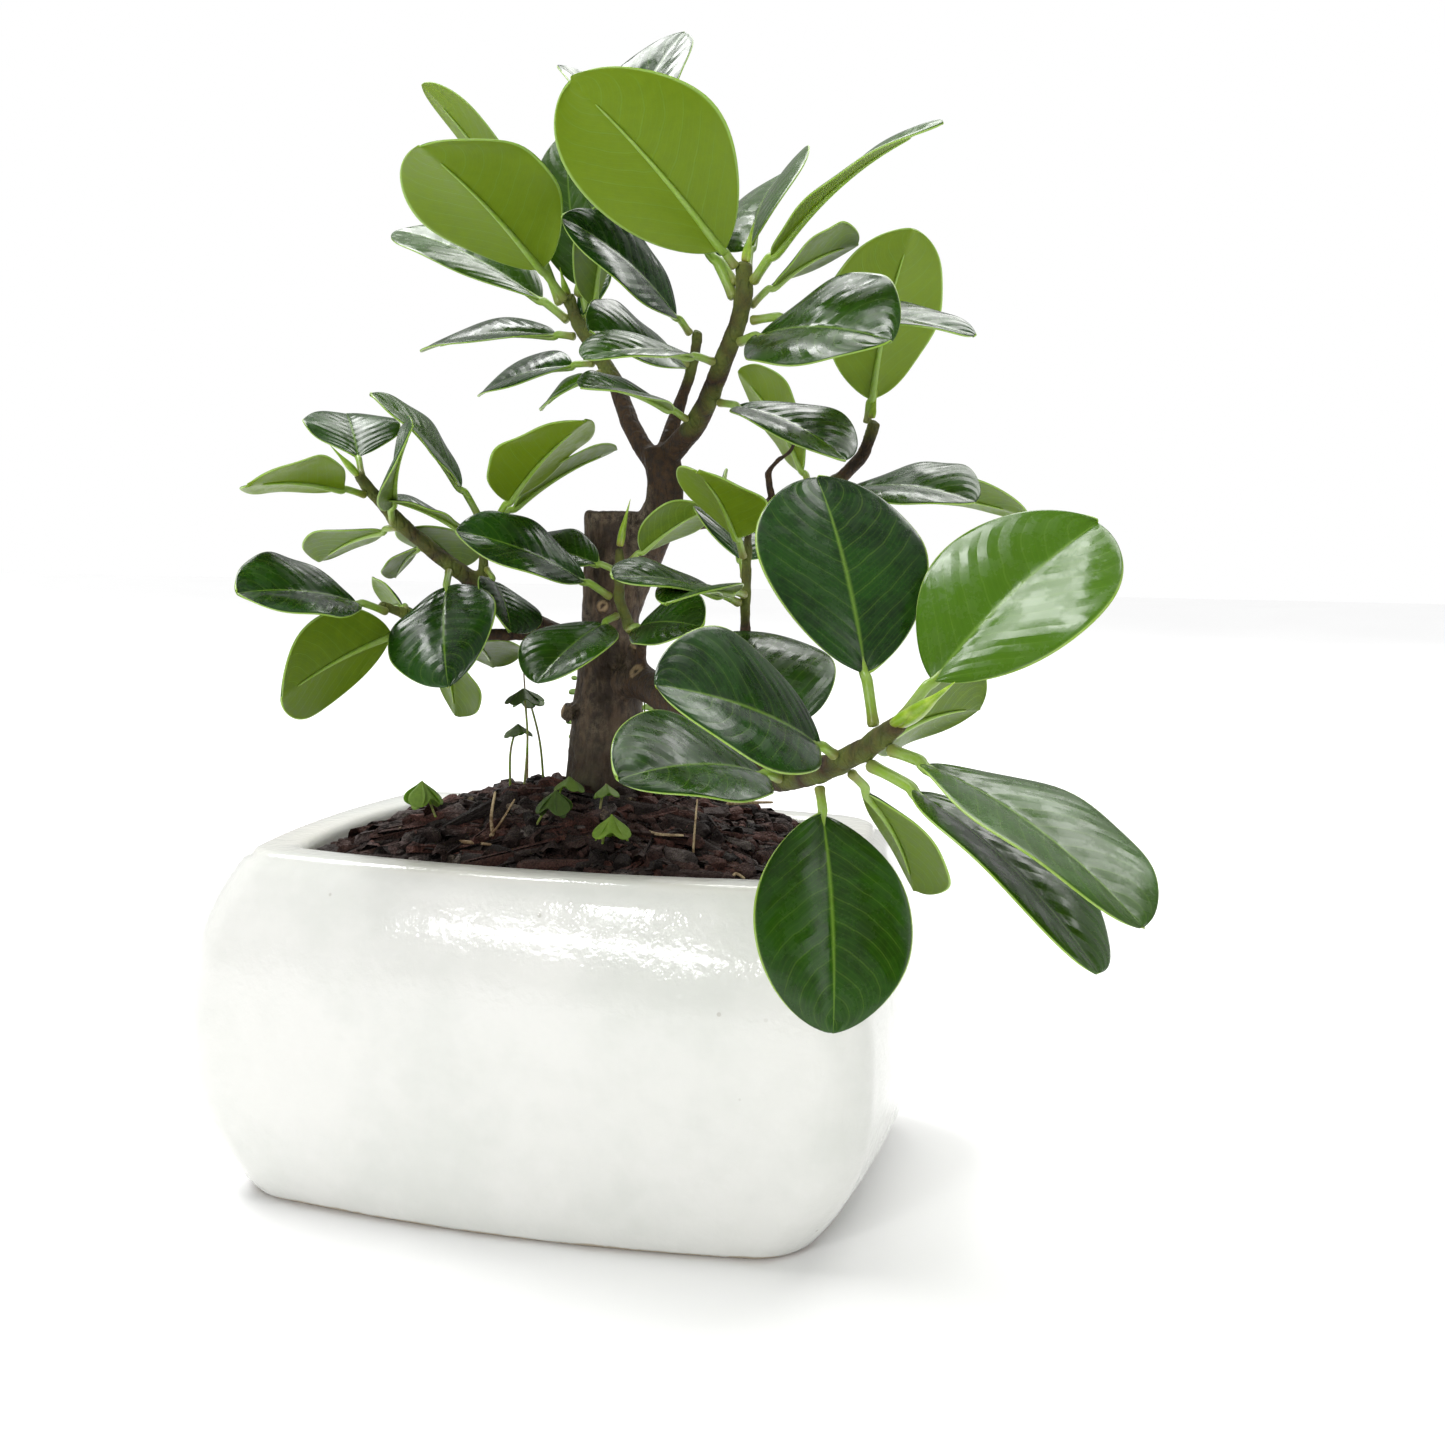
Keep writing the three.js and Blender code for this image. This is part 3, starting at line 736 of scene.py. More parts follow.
def buildWood():
    shape = woodShape
    bm, stubEnds = roughWood()
    starts = kdtree.KDTree(len(leafStarts))
    for i, start in enumerate(leafStarts):
        starts.insert(start, i)
    starts.balance()
    foot, top = shape["trunkFoot"] * mm, shape["trunkTop"] * mm
    layers = {key: bm.verts.layers.float.new(key) for key in ("trunkShare", "young", "cutFace", "cutRim")}
    for vert in bm.verts:
        share = min(max((vert.co.z - foot.z) / (top.z - foot.z), 0), 1)
        fromTrunk = (vert.co - foot.lerp(top, share)).length
        trunk = min(max((shape["trunkReach"] - fromTrunk) / (3 * mm), 0), 1)
        nearLeaf = starts.find(vert.co)[2]
        young = max(0.0, 1 - nearLeaf / shape["youngReach"]) * (1 - trunk)
        cut, rim = cutMarks(vert, trunk, stubEnds)
        for key, value in zip(layers, (trunk, young**0.8 * 0.6, cut, rim)):
            vert[layers[key]] = value
        vert.co += vert.normal * barkDepth(vert.co, trunk, nearLeaf)
    return addPiece("trunk_and_twigs", bm, [barkMaterial()], ("wood",))


trunk = buildWood()
print("wood: %d faces" % len(trunk.data.polygons))


potShape = {
    "bellyShare": 37 / 77,  # of the height, from the foot to the widest line
    "rimInset": (13 * mm, 7.5 * mm),
    "footInset": (14 * mm, 5 * mm),
    "bulge": 2.4,
    "cornerRadius": 10 * mm,
    "innerCornerRadius": 4 * mm,
    "sideBow": (4 * mm, 5.5 * mm),  # how far each side's middle stands out past its corners
    "footRound": 1.6 * mm,
    "lipRound": 2.5 * mm,
    "lipWidth": 9.5 * mm,
    "lipDepth": 8 * mm,
    "wall": 7 * mm,
    "floor": 7 * mm,
    "drainRadius": 6 * mm,
    "drainSpacing": 70 * mm,
    "bodySteps": 30,
    "cornerSteps": 14,
    "sideSteps": 9,
    "wobble": 0.22 * mm,  # how far the hand-thrown sides wander
}


def glazeMaterial():
    material, shader, place = newMaterial(
        "white_glaze", Specular_IOR_Level=0.5, Coat_Roughness=0.05, Coat_IOR=1.45)
    clouds = mottled(place, 28.0, 0.3)
    base = blendColours(clouds, colour(0.66, 0.67, 0.635), colour(0.73, 0.73, 0.70))
    specks = addNode(shader, "ShaderNodeTexVoronoi", {"Vector": place, "Scale": 210.0})
    speckSize = addNode(shader, "ShaderNodeSeparateColor", {0: specks.outputs["Color"]}).outputs["Red"]
    rare = rangeOf(speckSize, 0.95, 0.97)
    dots = rangeOf(specks.outputs["Distance"], 0.06, 0.12, 1.0, 0.0)
    base = blendColours(times(dots, times(rare, 0.4)), base, colour(0.3, 0.27, 0.22))
    height = addNode(shader, "ShaderNodeSeparateXYZ", {0: place}).outputs["Z"]
    wander = times(mottled(place, 60.0), 0.0007)
    bare = rangeOf(minus(height, wander), 0.0004, 0.0008, 1.0, 0.0)
    base = blendColours(bare, base, colour(0.42, 0.36, 0.28))
    edge = rangeOf(height, 0.0745, 0.077, 0.0, 0.35)
    base = blendColours(times(edge, clouds), base, colour(0.58, 0.55, 0.47))
    smudge = mottled(place, 75.0, 0.5)
    roughness = rangeOf(smudge, 0.0, 1.0, 0.06, 0.13)
    roughness = calc("MAXIMUM", roughness, times(bare, 0.85))
    connect(shader, Base_Color=base, Roughness=roughness)
    connect(shader, Coat_Weight=times(minus(1.0, bare), 0.15))
    peel = noiseAt(place, 130.0)
    pin = noiseAt(place, 600.0, 3.0)
    relief = plus(peel, times(pin, 0.6))
    relief = minus(relief, times(times(dots, rare), 0.3))
    addBump(shader, relief, 0.35, 0.5 * mm)
    return material


# Shares of the way round: each corner's arc, then the side after it, bowed out in the middle.
def potOutline(halfX, halfY, radius, z):
    shape = potShape
    points = []
    corners = [(1, 1), (-1, 1), (-1, -1), (1, -1)]
    middles = [Vector((signX * (halfX - radius), signY * (halfY - radius), z)) for signX, signY in corners]
    for number, middle in enumerate(middles):
        for i in range(shape["cornerSteps"]):
            heading = 90 * (number + i / (shape["cornerSteps"] - 1))
            points.append(middle + direction(heading, 0) * radius)
        last = points[-1]
        first = middles[(number + 1) % 4] + direction(90 * (number + 1), 0) * radius
        points += [last.lerp(first, i / shape["sideSteps"]) for i in range(1, shape["sideSteps"])]
    bowX, bowY = shape["sideBow"]
    for point in points:
        shareX, shareY = point.x / halfX, point.y / halfY
        point.x -= bowX * shareX * shareY**2
        point.y -= bowY * shareY * shareX**2
    return points


# The drop and the run of each step round a quarter circle.
def quarterRound(radius, steps):
    angles = [i / steps * math.pi / 2 for i in range(steps + 1)]
    return [(radius * (1 - math.cos(angle)), radius * (1 - math.sin(angle))) for angle in angles]


# Every ring of the pot's skin, from the foot up the outside, over the lip and down the inside.
def potRings():
    shape = potShape
    low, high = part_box("pot")
    size, height = high - low, high.z
    belly = height * shape["bellyShare"]

    def halves(z, inset):
        found = []
        for axis in (0, 1):
            end = size[axis] / 2 - shape["footInset" if z < belly else "rimInset"][axis]
            share = abs(z - belly) / (belly if z < belly else height - belly)
            found.append(end + (size[axis] / 2 - end) * (1 - share ** shape["bulge"]) - inset)
        return found

    def potRing(z, inset, atHeight=None):
        radius = max(shape["cornerRadius"] - inset, shape["innerCornerRadius"])
        return potOutline(*halves(z if atHeight is None else atHeight, inset), radius, z)

    def mouthRing(z, inset=0):
        return potOutline(*halves(height, shape["lipWidth"] + inset), shape["innerCornerRadius"], z)

    footRound, lipRound, bodySteps = shape["footRound"], shape["lipRound"], shape["bodySteps"]
    rings = [potRing(drop, run) for drop, run in quarterRound(footRound, 4)]
    bodyHeight = height - lipRound - footRound
    rings += [potRing(footRound + bodyHeight * (i + 1) / bodySteps, 0) for i in range(bodySteps)]
    outerLip, innerLip = quarterRound(lipRound, 5)[1:], quarterRound(lipRound, 4)[:-1]
    rings += [potRing(height - run, drop, height - lipRound * 0.2) for drop, run in outerLip]
    rings += [mouthRing(height - drop, -run) for drop, run in innerLip]
    lipUnderside = height - lipRound - shape["lipDepth"]
    rings += [mouthRing(height - lipRound), mouthRing(lipUnderside)]
    hollowTop = lipUnderside - shape["wall"]
    drop = (hollowTop - shape["floor"]) / 8
    return rings + [potRing(hollowTop - drop * i, shape["wall"]) for i in range(9)]


# Draws one ring out into the next, and gives the border edges of the first ring and the last.
def skinRings(bm, rings):
    verts = bmesh.ops.create_circle(bm, cap_ends=False, segments=len(rings[0]), radius=1)["verts"]
    edges = firstEdges = bm.edges[:]
    for i, ring in enumerate(rings):
        if i:
            drawn, edges, _ = extrudeRing(bm, edges)
            ahead = {edge.other_vert(vert): vert for vert in drawn for edge in vert.link_edges}
            verts = [ahead[vert] for vert in verts]
        for vert, point in zip(verts, ring):
            vert.co = point
    return firstEdges, edges


# The floor's two faces, with the drain holes through them.
def addPotFloor(bm, borders):
    loops = []
    for z, border in zip((0, potShape["floor"]), borders):
        holes = []
        for sign in (-1, 1):
            spot = Matrix.Translation((sign * potShape["drainSpacing"] / 2, 0, z))
            made = bmesh.ops.create_circle(bm, segments=32, radius=potShape["drainRadius"], matrix=spot)
            holes.append(list({edge for vert in made["verts"] for edge in vert.link_edges}))
        bmesh.ops.triangle_fill(bm, use_beauty=True, use_dissolve=False, edges=border + holes[0] + holes[1])
        loops.append(holes)
    for below, above in zip(*loops):
        bmesh.ops.bridge_loops(bm, edges=below + above)


def buildPot():
    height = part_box("pot")[1].z
    bm = bmesh.new()
    addPotFloor(bm, skinRings(bm, potRings()))
    bmesh.ops.recalc_face_normals(bm, faces=bm.faces)
    for vert in bm.verts:
        aboveFoot, belowRim = vert.co.z - 3 * mm, height - 1 * mm - vert.co.z
        clear = min(max(aboveFoot / (6 * mm), 0), 1) * min(max(belowRim / (6 * mm), 0), 1)
        vert.co += vert.normal * (noise.noise(vert.co * 28) * potShape["wobble"] * clear)
    piece = addPiece("glazed_pot", bm, [glazeMaterial()], ("pot",))
    piece.data.set_sharp_from_angle(angle=math.radians(40))
    return piece


pot = buildPot()
print("pot: %d faces" % len(pot.data.polygons))


def plasticMaterial():
    material, shader, place = newMaterial("drain_mesh_plastic", Specular_IOR_Level=0.4)
    wear = mottled(place, 300.0)
    connect(shader, Base_Color=blendColours(wear, colour(0.018, 0.019, 0.019), colour(0.045, 0.043, 0.04)))
    connect(shader, Roughness=rangeOf(wear, 0.0, 1.0, 0.45, 0.65))
    addBump(shader, gritty(place, 2000.0), 0.3, 0.1 * mm)
    return material


drainPlastic = plasticMaterial()
for nodeName in ("drain_mesh_left", "drain_mesh_right"):
    nodes[nodeName].data.materials.clear()
    nodes[nodeName].data.materials.append(drainPlastic)


gravelShape = {
    "tries": 16000,  # places drawn at random, and each is kept where it has room
    "spacing": 0.66,  # of two neighbours' radii together, so they lean on each other
    "fineShare": 0.35,
    "fineRadius": (0.9 * mm, 1.5 * mm),
    "coarseRadius": (1.6 * mm, 2.6 * mm),
    "edgeHeight": 71.5 * mm,  # below this a place is under the lip, not in the mouth
    "wallClearance": 0.3 * mm,
}


def gravelMaterial():
    material, shader, place = newMaterial("lava_gravel", Specular_IOR_Level=0.3)
    tint = attribute(shader, "grainTint")
    base = ramp(tint, [
        (0.0, colour(0.010, 0.007, 0.006)),
        (0.35, colour(0.026, 0.013, 0.010)),
        (0.6, colour(0.055, 0.020, 0.014)),
        (0.78, colour(0.095, 0.032, 0.022)),
        (0.88, colour(0.065, 0.045, 0.042)),
        (0.96, colour(0.12, 0.10, 0.09)),
        (1.0, colour(0.22, 0.16, 0.10)),
    ])
    flecks = mottled(place, 650.0, 0.9)
    base = blendColours(times(flecks, 0.6), base, colour(0.012, 0.008, 0.007))
    connect(shader, Base_Color=base, Roughness=rangeOf(flecks, 0.0, 1.0, 0.7, 0.95))
    addBump(shader, gritty(place, 1600.0, 1.2), 0.9, 0.35 * mm)
    return material


lava = gravelMaterial()


def buildSoilBed():
    bm = mergedCopy(nodes["gravel_soil"])
    edgeHeight = gravelShape["edgeHeight"]
    top = [f for f in bm.faces if f.normal.z > 0.4 and f.calc_center_median().z > edgeHeight - 1 * mm]
    edges = list({e for f in top for e in f.edges})
    bmesh.ops.subdivide_edges(bm, edges=edges, cuts=3, use_grid_fill=True)
    tint = bm.verts.layers.float.new("grainTint")
    bm.normal_update()
    for vert in bm.verts:
        vert[tint] = 0.12
        if vert.co.z > edgeHeight + 1 * mm:
            vert.co -= upright * (0.7 * mm * abs(noise.noise(vert.co * 400)))
    return addPiece("soil_bed", bm, [lava], ("gravel_soil",))


def grainPlaces(bed, mouth):
    shape, chance = gravelShape, random.Random(31)
    low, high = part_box("gravel_soil")
    bowX, bowY = potShape["sideBow"]
    cellSize = 2 * shape["coarseRadius"][1]
    places, cells = [], {}
    for _ in range(shape["tries"]):
        fine = chance.random() < shape["fineShare"]
        radius = chance.uniform(*shape["fineRadius" if fine else "coarseRadius"])
        above = Vector((chance.uniform(low.x, high.x), chance.uniform(low.y, high.y), high.z + 0.1))
        shade, sink = chance.random(), chance.uniform(-0.1, 0.45)
        hit, normal, _, _ = bed.ray_cast(above, -upright)
        if hit is None or hit.z < shape["edgeHeight"]:
            continue
        wallX = mouth[0] - bowX * (hit.y / mouth[1]) ** 2 - radius * 1.25
        wallY = mouth[1] - bowY * (hit.x / mouth[0]) ** 2 - radius * 1.25
        if abs(hit.x) > wallX or abs(hit.y) > wallY or woodTree.find_nearest(hit)[3] < radius * 0.7:
            continue
        centre = hit + normal * radius * sink
        column, row = math.floor(hit.x / cellSize), math.floor(hit.y / cellSize)
        around = [(column + i, row + j) for i in (-1, 0, 1) for j in (-1, 0, 1)]
        near = [other for cell in around for other in cells.get(cell, [])]
        if any((centre - spot).length < shape["spacing"] * (radius + reach) for spot, reach in near):
            continue
        cells.setdefault((column, row), []).append((centre, radius))
        places.append((centre, radius, shade))
    return places


def buildGrains(places):
    chance = random.Random(47)
    # One plain grain, doubled until there are enough, then each copy shaped where it lies.
    bm = bmesh.new()
    tint = bm.verts.layers.float.new("grainTint")
    perGrain = len(bmesh.ops.create_uvsphere(bm, u_segments=8, v_segments=6, radius=1)["verts"])
    while len(bm.verts) < perGrain * len(places):
        bmesh.ops.duplicate(bm, geom=bm.verts[:] + bm.edges[:] + bm.faces[:])
    bm.verts.ensure_lookup_table()
    spare = bm.verts[perGrain * len(places):]
    bmesh.ops.delete(bm, geom=spare, context="VERTS")
    bm.verts.ensure_lookup_table()
    for number, (centre, radius, shade) in enumerate(places):
        stretch = Vector((chance.uniform(0.9, 1.2), chance.uniform(0.85, 1.1), chance.uniform(0.8, 1.0)))
        rotation = Matrix.Identity(3)
        for axis in "XYZ":
            rotation = rotation @ Matrix.Rotation(chance.uniform(0, math.tau), 3, axis)
        offset = Vector((number * 3.7, 0, 0))
        for vert in bm.verts[number * perGrain:(number + 1) * perGrain]:
            lumpy = 1 + 0.35 * noise.noise(vert.co * 1.7 + offset)
            local = Vector(a * b for a, b in zip(vert.co * lumpy, stretch))
            vert.co = centre + rotation @ (local * radius)
            vert[tint] = shade
    piece = addPiece("lava_grains", bm, [lava])
    piece.data.set_sharp_from_angle(angle=math.radians(60))


def mouthHalves():
    low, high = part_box("pot")
    border = potShape["lipWidth"] + gravelShape["wallClearance"]
    return [(high[axis] - low[axis]) / 2 - potShape["rimInset"][axis] - border for axis in (0, 1)]


soilBed = buildSoilBed()
bedMesh = bmesh.new()
bedMesh.from_mesh(soilBed.data)
bedTree = BVHTree.FromBMesh(bedMesh)
bedMesh.free()
mouth = mouthHalves()
grains = grainPlaces(bedTree, mouth)
buildGrains(grains)
print("gravel: %d grains" % len(grains))


def groundAt(x, y):
    return bedTree.ray_cast(Vector((x * mm, y * mm, 0.2)), -upright)[0]


# Foot on the gravel, the stalk's bends above it, leaflet length (all mm), the turn and droop of the
# leaflets in degrees, how fresh they are, and the part that the plant stands for.
clovers = {
    "clover_front_plant": [(14, -26), [(1, -1, 5), (3, -2, 9)], 7, -75, -52, 0.9, "clover_front"],
    "clover_left_plant": [(-28, -18), [(-2, 0, 5), (-4, 0, 10)], 7.5, -30, -60, 0.7, "clover_left"],
    "clover_back_plant": [(-13, 10), [(-1, 0, 11), (-4, 0, 22)], 5, 20, -25, 0.25, "clover_back"],
    "clover_dull_plant": [(-4, -20), [(3, -1, 5), (6, -2, 10)], 7, -100, -60, 0.15],
    "clover_tall_plant": [(-15, 2), [(1, 0, 13), (0, 0, 25)], 6, 60, -30, 0.1],
    "clover_thin_plant": [(-20, 6), [(0, 0, 10), (2, 0, 17)], 5, -50, -35, 0.2],
    "clover_trunk_plant": [(-2, -12), [(2, -2, 5), (5, -4, 9)], 5, -90, -35, 0.45],
    "clover_side_plant": [(9, -13), [(1, -1, 5), (2, -1, 8)], 4.5, -60, -40, 0.5],
}

weedFinish = {
    "dull": colour(0.03, 0.055, 0.012),
    "fresh": colour(0.16, 0.27, 0.02),
    "stalk": colour(0.22, 0.2, 0.09),
    "straw": colour(0.42, 0.33, 0.2),
    "strawDark": colour(0.16, 0.1, 0.05),
}


def weedLeafMaterial():
    material, shader, place = newMaterial(
        "clover_leaflet", Specular_IOR_Level=0.3, **softness(0.4, 0.8, (0.6, 1.0, 0.2)))
    patches = mottled(place, 350.0)
    base = blendColours(attribute(shader, "fresh"), weedFinish["dull"], weedFinish["fresh"])
    base = blendColours(times(patches, 0.3), base, weedFinish["dull"])
    connect(shader, Base_Color=base, Roughness=rangeOf(patches, 0.0, 1.0, 0.5, 0.65))
    addBump(shader, gritty(place, 1500.0), 0.4, 0.12 * mm)
    return material


def strawMaterial(name, first, second):
    material, shader, place = newMaterial(name, Specular_IOR_Level=0.25)
    patches = mottled(place, 300.0, 0.7)
    connect(shader, Base_Color=blendColours(patches, first, second))
    connect(shader, Roughness=rangeOf(patches, 0.0, 1.0, 0.6, 0.85))
    addBump(shader, gritty(place, 1700.0), 0.5, 0.1 * mm)
    return material


cloverLeaf = weedLeafMaterial()
cloverStalk = strawMaterial("clover_stalk", weedFinish["stalk"], weedFinish["fresh"])
straw = strawMaterial("dry_straw", weedFinish["strawDark"], weedFinish["straw"])


def addLeaflet(bm, foot, line, length):
    # A heart: two lobes past a notch, folded along the middle.
    side = line.cross(upright).normalized()
    lift = side.cross(line).normalized()
    before = set(bm.verts)
    bmesh.ops.create_grid(bm, x_segments=8, y_segments=8, size=1)
    verts = [v for v in bm.verts if v not in before]
    for vert in verts:
        across, along = vert.co.x, (vert.co.y + 1) / 2
        away = abs(across)
        width = 0.62 * length * math.sin(math.pi * (0.04 + 0.6 * along)) ** 0.9 * min(1, along * 3)
        reach = length * along * (1 - 0.3 * (1 - away) ** 2.2 - 0.28 * away**3.5)
        vert.co = foot + line * reach + side * across * width + lift * (width * -0.5 * away)
    made = {f for v in verts for f in v.link_faces}
    bmesh.ops.remove_doubles(bm, verts=verts, dist=0.01 * mm)
    made = [f for f in made if f.is_valid]
    bmesh.ops.solidify(bm, geom=made, thickness=0.22 * mm)


def setFreshness(bm, value):
    fresh = bm.verts.layers.float.new("fresh")
    for vert in bm.verts:
        vert[fresh] = value


def growClover(name, foot, bends, leaflet, heading, droop, fresh, *replaced):
    ground = groundAt(*foot)
    points = [ground - upright * 1 * mm, ground] + [ground + Vector(bend) * mm for bend in bends]
    path = smoothPath(points)
    bm = bmesh.new()
    for turn in (0, 120, 240):
        line = direction(heading + turn, droop if turn else droop * 0.7)
        addLeaflet(bm, path[-1], line, leaflet * mm)
    sweepTube(bm, path, taper(0.42 * mm, 0.28 * mm, len(path)), sides=6, slotIndex=1)
    bmesh.ops.recalc_face_normals(bm, faces=bm.faces)
    setFreshness(bm, fresh)
    smoothEdges(addPiece(name, bm, [cloverLeaf, cloverStalk], replaced), 1)


for plantName, plant in clovers.items():
    growClover(plantName, *plant)

# Dry stalks and twiglets lying or standing on the gravel: foot, then bends over it, and radius (mm).
strawPieces = [
    [(-12, -24), [(-0.5, 0, 5), (0.5, 0, 11)], 0.55],
    [(-13, -24), [(3, -1, 4), (7, -2, 10)], 0.4],
    [(-20, -26), [(5, -1, 0.8), (9, -1, 0.6)], 0.6],
    [(-26, -2), [(8, -2, 1.5), (18, -3, 1), (26, -2, 3)], 0.6],
    [(34, -24), [(0.3, 0, 6), (0.8, 0, 13)], 0.35],
    [(44, -30), [(1, 0, 2), (3, 0, 1)], 0.5],
    [(22, -18), [(4, -4, 1), (10, -6, 1.5)], 0.5],
    [(-40, -20), [(5, 3, 1), (9, 5, 0.8)], 0.5],
    [(-18, 12), [(0, 0, 14), (-1, 0, 30)], 0.35],
    [(30, 14), [(6, 2, 1), (13, 2, 1.5)], 0.6],
    [(-45, 10), [(6, -4, 1), (11, -9, 1)], 0.55],
]


def buildStraws():
    bm = bmesh.new()
    for foot, bends, radius in strawPieces:
        ground = groundAt(*foot)
        points = [ground + upright * 0.6 * mm] + [ground + Vector(bend) * mm for bend in bends]
        path = smoothPath(points, 5)
        sweepTube(bm, path, taper(radius * mm, radius * 0.6 * mm, len(path)), sides=6)
    piece = addPiece("dry_straws", bm, [straw])
    smoothEdges(piece, 1)


buildStraws()


def buildSprouts():
    # Fine green seedlings behind the trunk.
    chance = random.Random(12)
    bm = bmesh.new()
    for _ in range(9):
        ground = groundAt(chance.uniform(-8, 10), chance.uniform(22, 30))
        height = chance.uniform(12, 30) * mm
        sway = Vector((chance.uniform(-4, 4), chance.uniform(-3, 3), 0)) * mm
        middle, top = ground + upright * height * 0.5 + sway, ground + upright * height + sway * 0.5
        path = smoothPath([ground, middle, top])
        sweepTube(bm, path, taper(0.3 * mm, 0.2 * mm, len(path)), sides=5, slotIndex=1)
        for spot in path[3:]:
            line = direction(chance.uniform(0, 360), chance.uniform(10, 45))
            addLeaflet(bm, spot, line, chance.uniform(2.2, 3.6) * mm)
    bmesh.ops.recalc_face_normals(bm, faces=bm.faces)
    setFreshness(bm, 0.95)
    addPiece("green_sprouts", bm, [cloverLeaf, cloverStalk])


buildSprouts()
print("weeds: %d clovers, %d straws" % (len(clovers), len(strawPieces)))


# Pointed sheaths at the twig ends: a point near the twig in mm, heading and rise in degrees, and
# length and radius in mm. The first two stand for parts, which give all but their radius.
partBuds = {"bud_front": 1.9, "bud_low": 1.2}
extraBuds = {
    "bud_side": [(48, -36, 149), 100, 75, 7, 0.9],
    "bud_left": [(-10, 18, 203), 150, 65, 8, 1.0],
    "bud_crown": [(41, -14, 204), 60, 75, 9, 1.1],
    "bud_back": [(65, 16, 178), 60, 75, 7, 0.9],
    "bud_near": [(13, -12, 144), 60, 75, 11, 1.0],
}


def budMaterial():
    material, shader, place = newMaterial(
        "bud_sheath", Specular_IOR_Level=0.45, **softness(0.35, 1.2, (0.8, 1.0, 0.2)))
    patches = mottled(place, 320.0)
    base = blendColours(patches, colour(0.21, 0.36, 0.02), colour(0.36, 0.5, 0.06))
    brown = attribute(shader, "sheathFoot")
    base = blendColours(brown, base, colour(0.19, 0.07, 0.02))
    connect(shader, Base_Color=base, Roughness=rangeOf(patches, 0.0, 1.0, 0.28, 0.42))
    addBump(shader, gritty(place, 1200.0), 0.25, 0.1 * mm)
    return material


sheath = budMaterial()


def growBud(name, foot, line, length, radius, replaced=()):
    bm = bmesh.new()
    side = line.cross(upright).normalized()
    for turn, size, lean in ((0, 1.0, 0.05), (1, 0.72, -0.06)):
        path, radii = [], []
        for i in range(15):
            share = i / 14
            aside = length * lean * share**2 + turn * radius * 0.6
            path.append(foot + line * length * size * share + side * aside)
            swelling = 0.75 + 0.4 * math.sin(math.pi * min(share * 1.6, 1))
            radii.append(radius * size * swelling * (1 - share**1.6) + 0.04 * mm)
        sweepTube(bm, path, radii, sides=10, flatten=0.72)
    foots = bm.verts.layers.float.new("sheathFoot")
    for vert in bm.verts:
        vert[foots] = math.exp(-(((vert.co - foot).length / (0.12 * length)) ** 2)) * 0.8
    piece = addPiece(name, bm, [sheath], replaced)
    smoothEdges(piece, 1)


def readBud(node):
    # The plain bud is a spindle, so its ends are the two corners farthest apart.
    points = [v.co.copy() for v in node.data.vertices]
    far = max(points, key=lambda p: (p - points[0]).length)
    other = max(points, key=lambda p: (p - far).length)
    nearWood = sorted((far, other), key=lambda p: woodTree.find_nearest(p)[3])
    return nearWood[0], nearWood[1]


for budName, budRadius in partBuds.items():
    budFoot, budTip = readBud(nodes[budName])
    along = budTip - budFoot
    budLine = along.normalized()
    budFoot -= budLine * 0.8 * mm
    growBud("sheath_" + budName, budFoot, budLine, along.length, budRadius * mm, (budName,))
for budName, (near, heading, rise, budLength, budRadius) in extraBuds.items():
    budFoot = woodTree.find_nearest(Vector(near) * mm)[0]
    growBud("sheath_" + budName, budFoot, direction(heading, rise), budLength * mm, budRadius * mm)
print("buds: %d" % (len(partBuds) + len(extraBuds)))


studio = {
    "floorSize": 8.0,
    "floorColour": colour(0.95, 0.95, 0.95),
    "backdrop": colour(1.0, 1.0, 1.0),
    "surroundStrength": 0.42,
    "sun": dict(heading=150, rise=55, strength=2.5, angle=32),
    # place, size, strength in watts and colour of each soft light
    "panels": {
        "frontStrip": dict(place=(-0.27, -1.14, 0.38), size=(0.6, 0.02), strength=3.2),
        "frontSpot": dict(place=(-0.2, -1.05, 0.62), size=(0.1, 0.05), strength=1.6),
        "topSpot": dict(place=(-0.4, -0.16, 1.22), size=(0.34, 0.2), strength=3.5),
        "topBack": dict(place=(0.2, 0.9, 1.3), size=(1.2, 0.8), strength=14, tint=(1.0, 1.0, 0.98)),
        "rightFill": dict(place=(1.3, -0.2, 0.5), size=(0.6, 1.0), strength=3),
    },
    "camera": dict(place=(120, -342, 146.5), heading=14.1, pitch=-6.8, roll=0.8, lens=38.8),
}


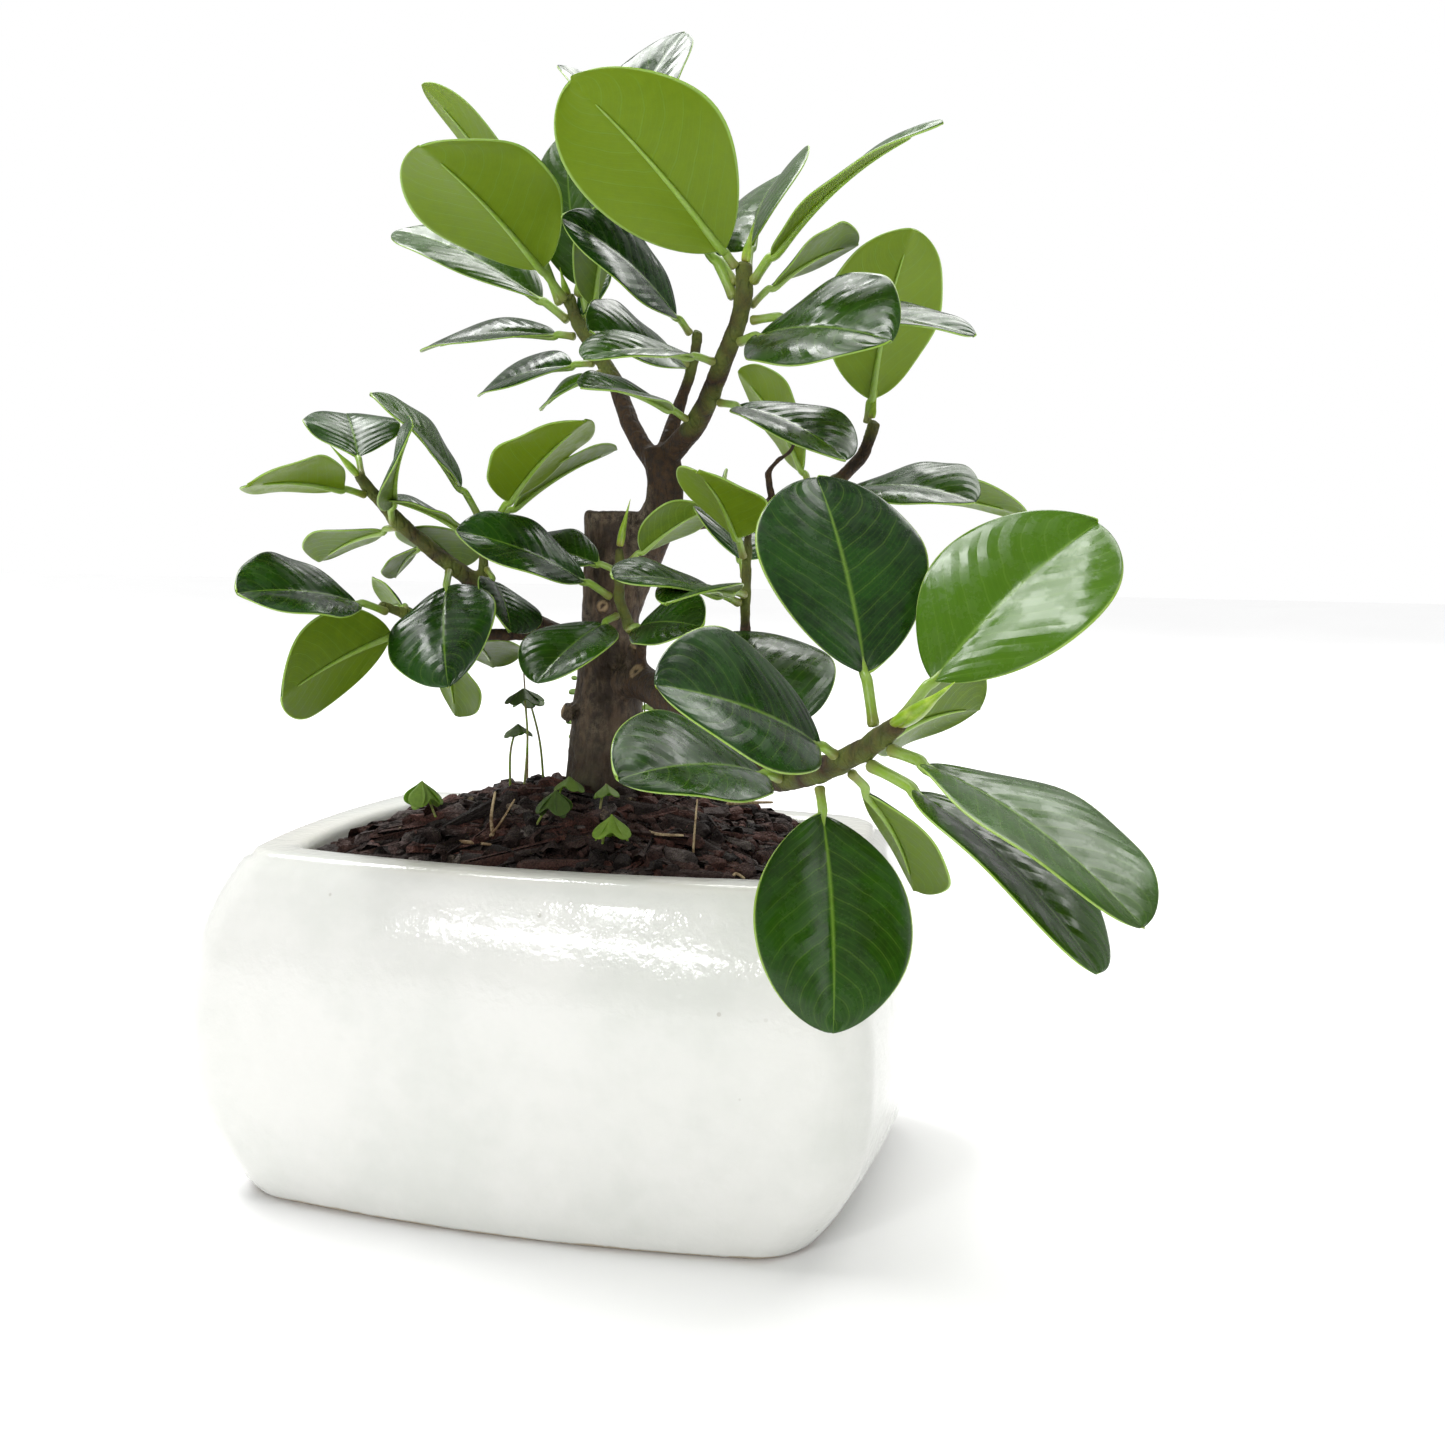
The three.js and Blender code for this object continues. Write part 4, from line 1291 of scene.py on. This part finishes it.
def buildFloor():
    bm = bmesh.new()
    bmesh.ops.create_grid(bm, x_segments=1, y_segments=1, size=studio["floorSize"] / 2)
    mesh = bpy.data.meshes.new("studio_floor")
    bm.to_mesh(mesh)
    bm.free()
    material, shader, place = newMaterial("studio_floor", Specular_IOR_Level=0.2)
    shade = mottled(place, 6.0)
    connect(shader, Base_Color=blendColours(shade, studio["floorColour"], colour(0.95, 0.95, 0.95)))
    connect(shader, Roughness=rangeOf(shade, 0.0, 1.0, 0.55, 0.6))
    mesh.materials.append(material)
    addObject("studio_floor", mesh)


def lightStudio():
    world = bpy.data.worlds.new("studio")
    bpy.context.scene.world = world
    world.use_nodes = True
    tree = world.node_tree
    surround = tree.nodes["Background"]
    surround.inputs["Color"].default_value = colour(1.0, 1.0, 1.0)
    surround.inputs["Strength"].default_value = studio["surroundStrength"]
    backdrop = addNode(tree, "ShaderNodeBackground", {"Color": studio["backdrop"], "Strength": 1.0})
    seen = addNode(tree, "ShaderNodeLightPath").outputs["Is Camera Ray"]
    mixed = addNode(tree, "ShaderNodeMixShader", {0: seen, 1: surround.outputs[0], 2: backdrop.outputs[0]})
    tree.links.new(mixed.outputs[0], tree.nodes["World Output"].inputs["Surface"])
    sunData = bpy.data.lights.new("softSun", "SUN")
    sunData.energy = studio["sun"]["strength"]
    sunData.angle = math.radians(studio["sun"]["angle"])
    sun = addObject("softSun", sunData)
    toSun = direction(studio["sun"]["heading"], studio["sun"]["rise"])
    sun.rotation_euler = toSun.to_track_quat("Z", "Y").to_euler()
    target = Vector((0.02, 0, 0.14))
    for name, panel in studio["panels"].items():
        data = bpy.data.lights.new(name, "AREA")
        data.shape = "RECTANGLE"
        data.size, data.size_y = panel["size"]
        data.energy = panel["strength"]
        data.color = panel.get("tint", (1.0, 1.0, 1.0))
        light = addObject(name, data)
        light.location = panel["place"]
        light.rotation_euler = (Vector(panel["place"]) - target).to_track_quat("Z", "Y").to_euler()


def placeCamera():
    view = studio["camera"]
    data = bpy.data.cameras.new("camera")
    data.lens = view["lens"]
    data.sensor_width = 36
    camera = addObject("camera", data)
    turn = Matrix.Rotation(math.radians(view["heading"]), 4, "Z")
    tilt = Matrix.Rotation(math.radians(90 + view["pitch"]), 4, "X")
    roll = Matrix.Rotation(math.radians(view["roll"]), 4, "Z")
    camera.matrix_world = Matrix.Translation(Vector(view["place"]) * mm) @ turn @ tilt @ roll
    bpy.context.scene.camera = camera
    bpy.context.scene.view_settings.view_transform = "Standard"


buildFloor()
lightStudio()
placeCamera()
print("studio: lit")
